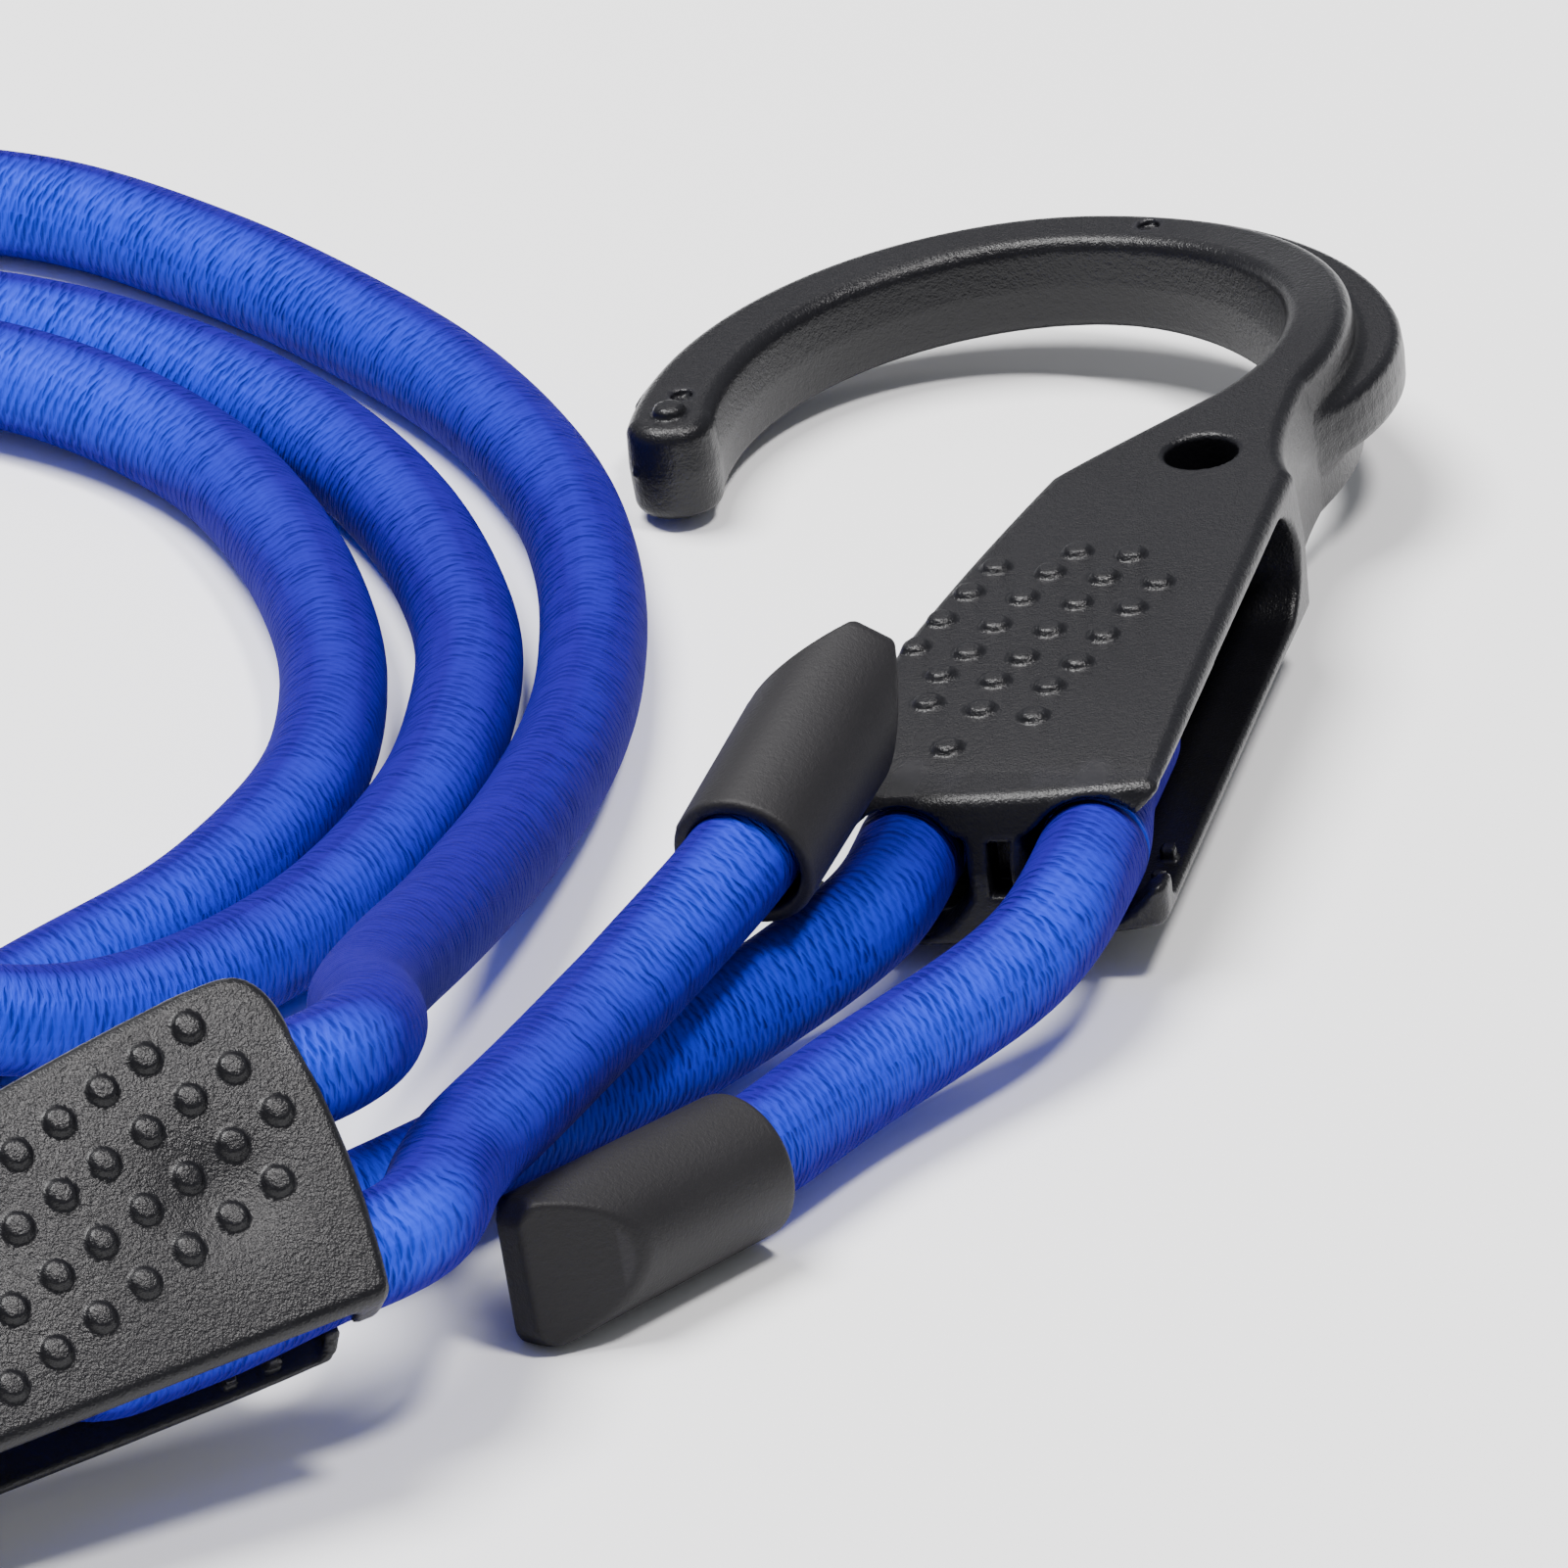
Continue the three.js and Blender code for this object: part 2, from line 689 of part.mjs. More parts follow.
// The least gap between two passes of the cord, on points of its middle line four to a diameter,
// leaving out those less than three diameters apart along it
function leastGap(route) {
  const spacing = cordDiameter / 4;
  const points = route.getSpacedPoints(Math.round(route.getLength() / spacing));
  const apart = Math.round((3 * cordDiameter) / spacing);
  let least = { gap: Infinity, place: points[0] };
  for (let i = 0; i < points.length; i += 1) {
    for (let j = i + apart; j < points.length; j += 1) {
      const gap = points[i].distanceTo(points[j]) - cordDiameter;
      if (gap < least.gap) least = { gap, place: points[i] };
    }
  }
  return least;
}
const nearest = leastGap(mainRoute);
const nearestPlace = nearest.place.toArray().map((v) => v.toFixed(0)).join(" ");
console.log("least gap of the cord to itself, mm:", nearest.gap.toFixed(2), "near", nearestPlace);
const cordLength = mainRoute.getLength() + tailRouteA.getLength() + tailRouteB.getLength();
console.log("length of the main run, mm:", mainRoute.getLength().toFixed(0));
console.log("length of all runs outside the hooks, mm:", cordLength.toFixed(0));

// A cap on the end of a tail, its ridge turned about its own axis
function capOn(name, route, turn) {
  const end = route.getPointAt(1);
  const along = route.getTangentAt(1);
  const made = mesh(name, capGeometry(), blackPlastic);
  made.quaternion.setFromUnitVectors(point(0, 0, 1), along);
  made.rotateZ(THREE.MathUtils.degToRad(turn));
  made.position.copy(end).addScaledVector(along, facetGap + capFloor - capLength);
  return made;
}

const assembly = new THREE.Group();
hookA.add(mesh("hook_a", hookShape, blackPlastic));
hookB.add(mesh("hook_b", hookShape, blackPlastic));
hookA.add(mesh("cord_bend_a", bendGeometry(), blueBraid));
hookB.add(mesh("cord_bend_b", bendGeometry(), blueBraid));
assembly.add(hookA, hookB);
assembly.add(mesh("cord_lead_a", cordGeometry(leadA, leadSteps, cordSides), blueBraid));
const coilSteps = Math.round(turns * coilStepsPerTurn);
assembly.add(mesh("cord_coil", cordGeometry(coil, coilSteps, coilSides), blueBraid));
assembly.add(mesh("cord_lead_b", cordGeometry(leadB, leadSteps, cordSides), blueBraid));
assembly.add(mesh("cord_tail_a", cordGeometry(tailRouteA, tailSteps, cordSides), blueBraid));
assembly.add(mesh("cord_tail_b", cordGeometry(tailRouteB, tailSteps, cordSides), blueBraid));
assembly.add(capOn("cap_a", tailRouteA, capTurnA));
assembly.add(capOn("cap_b", tailRouteB, capTurnB));

// The origin lies on the floor under the middle of the two hooks
assembly.updateMatrixWorld(true);
const span = new THREE.Box3();
for (const group of [hookA, hookB]) {
  const placed = hookShape.clone().applyMatrix4(group.matrixWorld);
  placed.computeBoundingBox();
  span.union(placed.boundingBox);
}
const middle = span.getCenter(new THREE.Vector3());
assembly.position.set(-middle.x, -middle.y, -span.min.z);

const bungee = new THREE.Group();
bungee.add(assembly);
export default bungee;
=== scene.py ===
"""Adjustable bungee cord: a braided elastic cord, two moulded hooks and two moulded end caps.

The cord is doubled back round a cleat inside each hook. Sizes are in millimetres in the hook's or
cap's own frame, and become metres in the model's frame when a mesh is made.
"""

import logging
import math
from dataclasses import dataclass, field
from enum import Enum
from functools import cache
from typing import Callable, Sequence

import bpy
import numpy as np
from mathutils import Matrix, Vector


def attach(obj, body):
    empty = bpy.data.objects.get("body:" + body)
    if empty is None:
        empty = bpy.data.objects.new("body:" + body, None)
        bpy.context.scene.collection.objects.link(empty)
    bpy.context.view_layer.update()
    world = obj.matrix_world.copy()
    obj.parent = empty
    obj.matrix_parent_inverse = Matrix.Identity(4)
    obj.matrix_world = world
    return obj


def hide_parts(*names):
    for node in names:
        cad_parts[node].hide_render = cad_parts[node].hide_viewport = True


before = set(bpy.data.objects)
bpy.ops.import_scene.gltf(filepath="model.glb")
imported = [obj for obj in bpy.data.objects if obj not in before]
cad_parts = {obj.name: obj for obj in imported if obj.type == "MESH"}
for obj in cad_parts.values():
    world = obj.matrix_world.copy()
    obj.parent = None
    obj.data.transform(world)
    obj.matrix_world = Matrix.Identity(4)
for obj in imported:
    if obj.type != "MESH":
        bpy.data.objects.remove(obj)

logging.basicConfig(level=logging.INFO, format="%(message)s")
LOG = logging.getLogger("bungee")

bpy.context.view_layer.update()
MM = 0.001
Array = np.ndarray
Pair = tuple[float, float]
Triple = tuple[float, float, float]
Colour = tuple[float, float, float, float]
Field = Callable[[Array, Array, Array], Array]
Piece = bpy.types.Object
Tree = bpy.types.NodeTree
Socket = bpy.types.NodeSocket
Sockets = bpy.types.bpy_prop_collection
Feeds = dict[str | int, object]

# The layout in which the cord's points were chosen, moved to the model's frame (millimetres)
LAYOUT_SHIFT = np.array([-15.965694, 152.545166, 0.0])

CORD_DIAMETER = 8.0
CORD_RADIUS = CORD_DIAMETER / 2
SLIP_FIT = 0.3
FLOOR_LINE = CORD_RADIUS + 0.1
CLEAT_WIDTH = 5.0
CLEAT_NOSE = 17.5
LEG_OFFSET = CORD_RADIUS + SLIP_FIT + CLEAT_WIDTH / 2
LEG_STRAIGHT = 7.5
SEAM_DEPTH = 1.25

# How far a leg draws in towards the cleat behind the mouth, by hook
TUCKS: dict[str, float] = {"a": 1.5, "b": -0.5}


class Slot(Enum):
    """The record's material slots."""

    HOOK = "hook_plastic"
    CAP = "cap_plastic"
    BRAID = "blue_braid"


class Side(Enum):
    """The left or the right leg of the cord in a hook, seen from above towards the ring."""

    LEFT = 1.0
    RIGHT = -1.0


@dataclass(frozen=True)
class HookPlace:
    """Where a hook lies: the middle of its mouth and its directions, in the model's frame."""

    mouth: Triple
    forward: Triple
    left: Triple

    def axes(self) -> Array:
        """The hook's own X, Y and Z as the rows of a matrix."""
        x = unit(np.array(self.forward))
        z = unit(np.cross(x, np.array(self.left)))
        return np.array([x, np.cross(z, x), z])

    def to_model(self, points: Array) -> Array:
        """Move points from the hook's own frame to the model's, in millimetres."""
        return points @ self.axes() + np.array(self.mouth)


HOOK_A = HookPlace((56.134, 9.745, 8.424), (0.2317, 0.9728, 0.0162), (-0.9651, 0.232, -0.1216))
HOOK_B = HookPlace((6.734, -56.955, 18.206), (-0.84, -0.533, -0.101), (-0.47, 0.621, 0.627))

# The coil: angle in degrees and radius of the cord's middle line about the coil's centre, with its height
# where it is off the floor
COIL_CENTRE = np.array([-25.0, -112.0])
COIL_STATIONS = (
    (-82, 102), (-100, 92), (-125, 78), (-150, 69), (-175, 64.2), (-200, 61), (-225, 60.5),
    (-250, 63), (-270, 66.5), (-290, 67.8), (-305, 66.7), (-324, 63.5), (-347, 60), (-363, 58),
    (-373, 57.5), (-384, 57.4), (-395, 58, 4.3), (-405, 59.3, 5), (-414, 60.8, 6.2),
    (-422, 62.4, 8), (-430, 62.9, 10.8), (-438, 61.3, 12.9), (-447, 58.6, 11.8),
    (-457, 55.6, 7.8), (-470, 52.5), (-490, 49.6), (-510, 48.3), (-540, 47), (-570, 47),
    (-600, 51), (-630, 57, 4.8), (-653, 58.4, 5), (-672, 56.6), (-686, 53), (-700, 50.5),
    (-715, 49.1), (-731, 48.7), (-741, 48.5), (-751, 48.8), (-760, 49.5), (-768, 50),
    (-775, 51.2), (-782, 53.4), (-790, 56.8), (-797.6, 60.2), (-806, 63.2), (-815, 64.6),
    (-840, 63), (-863, 57.6), (-875, 56.8, 4.6), (-884, 57.2, 8.4), (-893, 58.5, 11.2),
    (-905, 60.8, 12.9), (-916, 63.2, 12.9), (-927, 66, 11.6), (-938, 69.2, 7.8), (-950, 72.8),
    (-970, 80), (-988, 86), (-1006, 87.4), (-1016, 84.3), (-1031, 79.6), (-1042, 76.7),
    (-1053, 73.5), (-1063, 70.6), (-1075, 67.9),
)

# The rest of the cord's route, as points of its middle line in the layout
LEAD_A = (
    (60.2, -153.6, 6.9), (55, -158.6, 5.4), (49.4, -164.4, 4.3), (43.6, -170.1, 4.1),
    (38, -176.1, 4.1), (32.4, -182, 4.1), (25, -189, 4.1), (14, -198.5, 4.1), (2, -208, 4.1),
)
LEAD_B = (
    (42.2, -111.5, 4.3), (40.1, -124, 5.2), (37, -137.3, 6.8), (33, -153, 9.5),
    (29.2, -167.8, 13), (27, -181.5, 17.1), (28.2, -192, 21.2),
)
TAIL_A = (
    (74.4, -156.4, 7.5), (70.6, -161, 6.9), (66.9, -165.3, 6.3), (63, -169.8, 5.9),
    (59.2, -174.8, 5.6), (53.6, -183.5, 5.6), (42.7, -195.6, 5.6),
)
TAIL_B = (
    (33, -201.5, 14.2), (37.6, -190.4, 13.8), (42.9, -177.8, 13.2), (48.3, -167, 14),
    (54, -156.7, 16), (59.6, -143, 19),
)


def unit(v: Array) -> Array:
    """Scale vectors, along the last axis, to length one."""
    return v / np.linalg.norm(v, axis=-1, keepdims=True)


def smooth_step(v: Array, low: float, high: float) -> Array:
    """Rise from 0 at low to 1 at high with level ends."""
    t = np.clip((v - low) / (high - low), 0.0, 1.0)
    return t * t * (3.0 - 2.0 * t)


def mesh_object(name: str, points: Array, faces: Sequence[Array], uv: Array | None = None) -> Piece:
    """Make a mesh object at the origin from whole arrays.

    Args:
        name: The piece's name.
        points: Its points in millimetres in the model's frame, one row each.
        faces: Index arrays, one row a face, each array with its own number of corners.
        uv: The places of all face corners on the surface, in the faces' order.

    Returns:
        The object, linked to the scene.
    """
    mesh = bpy.data.meshes.new(name)
    corners = np.concatenate([f.ravel() for f in faces]).astype(np.int32)
    sizes = np.concatenate([np.full(len(f), f.shape[1]) for f in faces])
    starts = np.concatenate([[0], np.cumsum(sizes)[:-1]]).astype(np.int32)
    mesh.vertices.add(len(points))
    mesh.vertices.foreach_set("co", (np.asarray(points) * MM).astype(np.float32).ravel())
    mesh.loops.add(len(corners))
    mesh.loops.foreach_set("vertex_index", corners)
    mesh.polygons.add(len(starts))
    mesh.polygons.foreach_set("loop_start", starts)
    if uv is not None:
        mesh.uv_layers.new(name="UVMap").data.foreach_set("uv", uv.astype(np.float32).ravel())
    mesh.update(calc_edges=True)
    mesh.validate()
    mesh.shade_smooth()
    piece = bpy.data.objects.new(name, mesh)
    bpy.context.scene.collection.objects.link(piece)
    return piece


@dataclass(frozen=True)
class Camera:
    """The photograph's view: a long lens from a little above the floor."""

    target: Triple = (40.7343, 29.6452, 4.0)
    distance: float = 1800.0
    elevation: float = 27.5
    focal_pixels: float = 25380.0
    frame_pixels: float = 1601.0
    nearest: float = 0.05
    farthest: float = 20.0

    def build(self) -> None:
        """Make the camera and set it as the scene's."""
        tilt = math.radians(self.elevation)
        aim = np.array(self.target)
        eye = aim + self.distance * np.array([0.0, -math.cos(tilt), math.sin(tilt)])
        data = bpy.data.cameras.new("camera")
        data.sensor_fit = "HORIZONTAL"
        data.angle = 2.0 * math.atan(self.frame_pixels / 2.0 / self.focal_pixels)
        data.clip_start = self.nearest
        data.clip_end = self.farthest
        camera = bpy.data.objects.new("camera", data)
        camera.location = Vector(eye * MM)
        camera.rotation_euler = Vector(aim * MM - eye * MM).to_track_quat("-Z", "Y").to_euler()
        bpy.context.scene.collection.objects.link(camera)
        bpy.context.scene.camera = camera


@dataclass(frozen=True)
class SoftLight:
    """One large soft lamp aimed at the middle of the object."""

    name: str
    place: Triple
    width: float
    watts: float
    tint: Triple

    def build(self) -> None:
        """Make the lamp."""
        data = bpy.data.lights.new(self.name, "AREA")
        data.shape = "DISK"
        data.size = self.width
        data.energy = self.watts
        data.color = self.tint
        lamp = bpy.data.objects.new(self.name, data)
        lamp.location = self.place
        lamp.rotation_euler = (-Vector(self.place)).to_track_quat("-Z", "Y").to_euler()
        bpy.context.scene.collection.objects.link(lamp)


@dataclass(frozen=True)
class Studio:
    """The plain pale floor and the soft light round it."""

    floor_half: float = 6.0
    floor_tint: Colour = (0.93, 0.935, 0.945, 1.0)
    floor_roughness: float = 0.9
    floor_gloss: float = 0.1
    sky: float = 0.32
    sky_tint: Colour = (0.94, 0.96, 1.0, 1.0)
    lights: tuple[SoftLight, ...] = (
        SoftLight("key", (-0.4, 0.2, 1.25), 0.7, 36.0, (1.0, 0.99, 0.98)),
        SoftLight("overhead", (0.4, -0.12, 1.24), 0.24, 14.0, (1.0, 0.97, 0.96)),
        SoftLight("back", (-0.12, 1.2, 1.08), 0.36, 1.6, (1.0, 0.96, 0.94)),
    )

    def build(self) -> None:
        """Make the floor, the lights and the sky."""
        half = self.floor_half / MM
        corners = np.array([[-half, -half, 0], [half, -half, 0], [half, half, 0], [-half, half, 0]])
        floor = mesh_object("floor", corners, [np.array([[0, 1, 2, 3]])])
        material, g, shader = new_material("pale_floor")
        g.feed(shader, {"Base Color": self.floor_tint, "Roughness": self.floor_roughness,
                        "Specular IOR Level": self.floor_gloss})
        floor.data.materials.append(material)
        for light in self.lights:
            light.build()
        world = bpy.data.worlds.new("studio")
        world.use_nodes = True
        tree = world.node_tree
        Graph(tree).feed(tree.nodes["Background"].inputs, {"Color": self.sky_tint, "Strength": self.sky})
        bpy.context.scene.world = world


class Graph:
    """A short way to add and link shader nodes in one tree."""

    def __init__(self, tree: Tree) -> None:
        """Keep the tree that nodes are added to."""
        self.tree = tree

    def feed(self, sockets: Sockets, feeds: Feeds) -> None:
        """Link each named or numbered socket to its source, or set its plain value on it."""
        for key, source in feeds.items():
            if isinstance(source, Socket):
                self.tree.links.new(source, sockets[key])
            else:
                sockets[key].default_value = source

    def add(self, kind: str, feeds: Feeds, output: str | int = 0, **values: object) -> Socket:
        """Add a node, set its own values, feed its inputs and return one of its outputs."""
        made = self.tree.nodes.new(kind)
        for key, value in values.items():
            setattr(made, key, value)
        self.feed(made.inputs, feeds)
        return made.outputs[output]

    def math(self, operation: str, *sources: object, clamp: bool = False) -> Socket:
        """Work out a value, kept between 0 and 1 if it is clamped."""
        return self.add("ShaderNodeMath", dict(enumerate(sources)), operation=operation, use_clamp=clamp)

    def mix(self, factor: object, first: object, second: object) -> Socket:
        """Mix two colours, which are the Mix node's inputs 6 and 7, by a factor."""
        return self.add("ShaderNodeMix", {0: factor, 6: first, 7: second}, 2, data_type="RGBA")

    def noise(self, vector: object, scale: object, detail: float) -> Socket:
        """Read a noise texture."""
        return self.add("ShaderNodeTexNoise", {"Vector": vector, "Scale": scale, "Detail": detail}, "Fac")

    def vector(self, x: object, y: object) -> Socket:
        """Put two values together as a vector in a plane."""
        return self.add("ShaderNodeCombineXYZ", {0: x, 1: y})

    def bump(self, height: object, strength: float, depth: float) -> Socket:
        """Turn a height between 0 and 1 into the surface's normal."""
        feeds = {"Strength": strength, "Distance": depth, "Height": height}
        return self.add("ShaderNodeBump", feeds, "Normal")

    def group(self, tree: Tree, **feeds: object) -> Sockets:
        """Place a node group and return its outputs."""
        return self.add("ShaderNodeGroup", feeds, node_tree=tree).node.outputs


def new_material(name: str) -> tuple[bpy.types.Material, Graph, Sockets]:
    """Start a material, and return it with its graph and its shader's inputs."""
    made = bpy.data.materials.new(name)
    made.use_nodes = True
    return made, Graph(made.node_tree), made.node_tree.nodes["Principled BSDF"].inputs


def new_group(name: str, inputs: Sequence[str], outputs: Sequence[str]) -> tuple[Graph, Sockets, Sockets]:
    """Start a shader node group, in which the socket Place is a vector and each other one a value.

    Returns:
        The group's graph, the sockets that its inputs come from and those that its outputs go to.
    """
    tree = bpy.data.node_groups.new(name, "ShaderNodeTree")
    for way, labels in (("INPUT", inputs), ("OUTPUT", outputs)):
        for label in labels:
            kind = "NodeSocketVector" if label == "Place" else "NodeSocketFloat"
            tree.interface.new_socket(label, in_out=way, socket_type=kind)
    source, sink = [tree.nodes.new(kind) for kind in ("NodeGroupInput", "NodeGroupOutput")]
    return Graph(tree), source.outputs, sink.inputs


@cache
def grain_group() -> Tree:
    """Build the spark-eroded grain of moulded plastic: fine pits over slow unevenness.

    Returns:
        A group from Place and Scale to Height, 0 to 1, and Patch, a slow mask, 0 to 1.
    """
    g, given, result = new_group("moulded_grain", ("Place", "Scale"), ("Height", "Patch"))
    fine, pits, slow = [
        g.noise(given["Place"], g.math("MULTIPLY", given["Scale"], cells_per_metre), detail)
        for cells_per_metre, detail in ((6000.0, 2.0), (2200.0, 3.0), (90.0, 2.0))
    ]
    height = g.math("ADD", g.math("MULTIPLY", fine, 0.45), g.math("MULTIPLY", pits, 0.55))
    g.feed(result, {"Height": height, "Patch": slow})
    return g.tree


@cache
def wear_group() -> Tree:
    """Build the mask of rims rubbed by handling.

    Returns:
        A group from Rim, how sharply a place stands out, and Patch, a slow mask, to Mask, 0 to 1.
    """
    g, given, result = new_group("edge_wear", ("Rim", "Patch"), ("Mask",))
    share = g.math("ADD", g.math("MULTIPLY", given["Patch"], 0.8), 0.2)
    g.feed(result, {"Mask": g.math("MULTIPLY", given["Rim"], share)})
    return g.tree


# The braid's gaps, in stitches: half widths added in a column's middle and kept at its edge, and how
# far a column's stitches are moved along it by chance
GAP_MIDDLE = 0.24
GAP_EDGE = 0.02
GAP_SHUFFLE = 0.4


def stitch_layer(g: Graph, given: Sockets, turn: Socket, length: Socket, shift: float) -> Socket:
    """Add one layer of the braid's gaps: thin lines across each column that taper at both ends.

    Args:
        g: The braid group's graph.
        given: Its inputs: Columns round the cord, Pitch from stitch to stitch in metres, and Lean of a
            stitch over its column's width, in stitches.
        turn: The share of a turn round the cord.
        length: The length along the cord in metres.
        shift: How far the layer is moved, in columns and in stitches.

    Returns:
        How deep in a gap a place is, 0 to 1.
    """
    columns = given["Columns"]
    column = g.math("ADD", g.math("MULTIPLY", turn, columns), shift)
    across = g.math("SUBTRACT", g.math("FRACT", column), 0.5)
    number = g.math("MODULO", g.math("ADD", g.math("FLOOR", column), 0.5), columns)
    chance = g.add("ShaderNodeTexWhiteNoise", {"W": number}, "Value", noise_dimensions="1D")
    own = g.math("SUBTRACT", chance, 0.5)
    sway = g.math("MULTIPLY", g.math("MULTIPLY", across, given["Lean"]), g.math("SIGN", own))
    along = g.math("ADD", g.math("DIVIDE", length, given["Pitch"]), g.math("MULTIPLY", own, GAP_SHUFFLE))
    phase = g.math("ADD", g.math("ADD", along, sway), shift)
    off = g.math("ABSOLUTE", g.math("SUBTRACT", g.math("FRACT", phase), 0.5))
    ends = g.math("SUBTRACT", 1.0, g.math("POWER", g.math("ABSOLUTE", g.math("MULTIPLY", across, 2.0)), 2.0))
    wide = g.math("ADD", g.math("MULTIPLY", ends, GAP_MIDDLE), GAP_EDGE)
    made = g.math("SUBTRACT", 1.0, g.math("DIVIDE", off, wide), clamp=True)
    stitch = g.vector(g.math("FLOOR", column), g.math("FLOOR", phase))
    one = g.add("ShaderNodeTexWhiteNoise", {"Vector": stitch}, "Value", noise_dimensions="2D")
    strength = g.math("ADD", g.math("MULTIPLY", one, 0.7), 0.3)
    return g.math("MULTIPLY", g.math("MULTIPLY", made, ends), strength)


def surface_noise(g: Graph, turn: Socket, length: Socket, round_cord: float, per_metre: float) -> Socket:
    """Add noise on the cord's surface, with its cells counted round the cord and per metre of it."""
    place = g.vector(g.math("MULTIPLY", turn, round_cord), g.math("MULTIPLY", length, per_metre))
    return g.noise(place, 1.0, 2.0)


@cache
def braid_group() -> Tree:
    """Build the braid's relief from the cord's own surface places.

    Columns run along the cord. Two layers of short stitches, nearly square to the cord, interlock:
    the second has its columns and its stitches half a step from the first's.

    Returns:
        A group from Place, Columns, Pitch and Lean to Height and Valley, both 0 to 1.
    """
    g, given, result = new_group("braid_relief", ("Place", "Columns", "Pitch", "Lean"), ("Height", "Valley"))
    turn = g.add("ShaderNodeSeparateXYZ", {0: given["Place"]})
    length = turn.node.outputs[1]
    uneven = surface_noise(g, turn, length, 14.0, 420.0)
    along = g.math("ADD", length, g.math("MULTIPLY", g.math("MULTIPLY", uneven, given["Pitch"]), 0.7))
    first, second = [stitch_layer(g, given, turn, along, shift) for shift in (0.0, 0.5)]
    share = g.math("ADD", g.math("MULTIPLY", uneven, 1.2), 0.4)
    gap = g.math("MULTIPLY", g.math("MAXIMUM", first, second), share, clamp=True)
    fibre = surface_noise(g, turn, along, 40.0, 9000.0)
    raised = g.math("ADD", 0.75, g.math("MULTIPLY", fibre, 0.25))
    g.feed(result, {"Valley": gap, "Height": g.math("SUBTRACT", raised, gap)})
    return g.tree


@dataclass(frozen=True)
class PlasticFinish:
    """Black moulded plastic with a fine grain, a little paler and smoother on its rubbed rims."""

    name: str
    colour: Colour
    pale: Colour
    roughness: float
    rough_spread: float
    grain_depth: float
    grain_scale: float
    grain_strength: float = 0.75
    worn_gain: float = 2.2
    worn_polish: float = 0.08
    gloss: float = 0.28

    @cache
    def material(self) -> bpy.types.Material:
        """Make the material, or return it if it is made."""
        made, g, shader = new_material(self.name)
        place = g.add("ShaderNodeTexCoord", {}, "Object")
        grain = g.group(grain_group(), Place=place, Scale=self.grain_scale)
        patch = grain["Patch"]
        rim = g.add("ShaderNodeAttribute", {}, "Fac", attribute_name="rim")
        worn = g.group(wear_group(), Rim=rim, Patch=patch)["Mask"]
        rubbed = tuple(self.worn_gain * c for c in self.pale[:3]) + (1.0,)
        colour = g.mix(worn, g.mix(patch, self.colour, self.pale), rubbed)
        rough = g.math("ADD", g.math("MULTIPLY", patch, self.rough_spread), self.roughness)
        rough = g.math("SUBTRACT", rough, g.math("MULTIPLY", worn, self.worn_polish))
        normal = g.bump(grain["Height"], self.grain_strength, self.grain_depth)
        g.feed(shader, {"Base Color": colour, "Roughness": rough, "Normal": normal,
                        "Specular IOR Level": self.gloss})
        return made


@dataclass(frozen=True)
class BraidFinish:
    """Satin blue polyester braid, with painted shade that darkens its colour towards the cord's outline.

    The painted outline shade comes in as Layer Weight rises by outline_shade_spread past outline_shade_start.
    """

    name: str = "blue_braid_sheath"
    # deep: the colour of the painted shade in the stitch gaps, and of the darker side of the slow random tone
    deep: Colour = (0.001, 0.004, 0.13, 1.0)
    bright: Colour = (0.018, 0.053, 0.87, 1.0)
    # outline: the colour of the painted shade towards the cord's outline
    outline: Colour = (0.013, 0.004, 0.2, 1.0)
    outline_shade_start: float = 0.14
    outline_shade_spread: float = 0.46
    columns: float = 11.0
    pitch: float = 0.00084
    lean: float = 0.28
    depth: float = 0.0003
    roughness: float = 0.42
    gloss: float = 0.09
    gloss_tint: Colour = (0.4, 0.5, 1.0, 1.0)

    @cache
    def material(self) -> bpy.types.Material:
        """Make the material, or return it if it is made."""
        made, g, shader = new_material(self.name)
        place = g.add("ShaderNodeUVMap", {}, "UV", uv_map="UVMap")
        braid = g.group(braid_group(), Place=place, Columns=self.columns, Pitch=self.pitch, Lean=self.lean)
        valley = braid["Valley"]
        slow = g.math("MULTIPLY", g.math("SUBTRACT", g.noise(place, 30.0, 3.0), 0.5), 0.5)
        # Painted shade in the stitch gaps: the colour goes towards deep where the gaps are; the slow noise
        # adds a random tone
        gap_shade_and_tone = g.math("ADD", g.math("SUBTRACT", 0.9, g.math("MULTIPLY", valley, 0.6)), slow, clamp=True)
        # Painted shade: the colour turns to the outline colour as the surface turns away from the camera
        facing = g.add("ShaderNodeLayerWeight", {"Blend": 0.5}, "Facing")
        past = g.math("SUBTRACT", facing, self.outline_shade_start)
        far = g.math("DIVIDE", past, self.outline_shade_spread, clamp=True)
        colour = g.mix(far, g.mix(gap_shade_and_tone, self.deep, self.bright), self.outline)
        dull = g.math("ADD", g.math("MULTIPLY", valley, 0.2), g.math("MULTIPLY", far, 0.35))
        rough = g.math("ADD", dull, self.roughness)
        normal = g.bump(braid["Height"], 1.0, self.depth)
        g.feed(shader, {"Base Color": colour, "Roughness": rough, "Normal": normal,
                        "Specular IOR Level": self.gloss, "Specular Tint": self.gloss_tint})
        return made


HOOK_FINISH = PlasticFinish(
    "black_hook_plastic", (0.004, 0.004, 0.0055, 1.0), (0.007, 0.007, 0.009, 1.0),
    roughness=0.26, rough_spread=0.12, grain_depth=0.00014, grain_scale=1.0,
)
CAP_FINISH = PlasticFinish(
    "black_cap_plastic", (0.006, 0.0055, 0.007, 1.0), (0.01, 0.0095, 0.0115, 1.0),
    roughness=0.5, rough_spread=0.1, grain_depth=0.0001, grain_scale=1.3,
)
BRAID_FINISH = BraidFinish()


def dress(piece: Piece, material: bpy.types.Material, body: str) -> None:
    """Give a piece its material and the body that it rides on."""
    piece.data.materials.append(material)
    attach(piece, body)


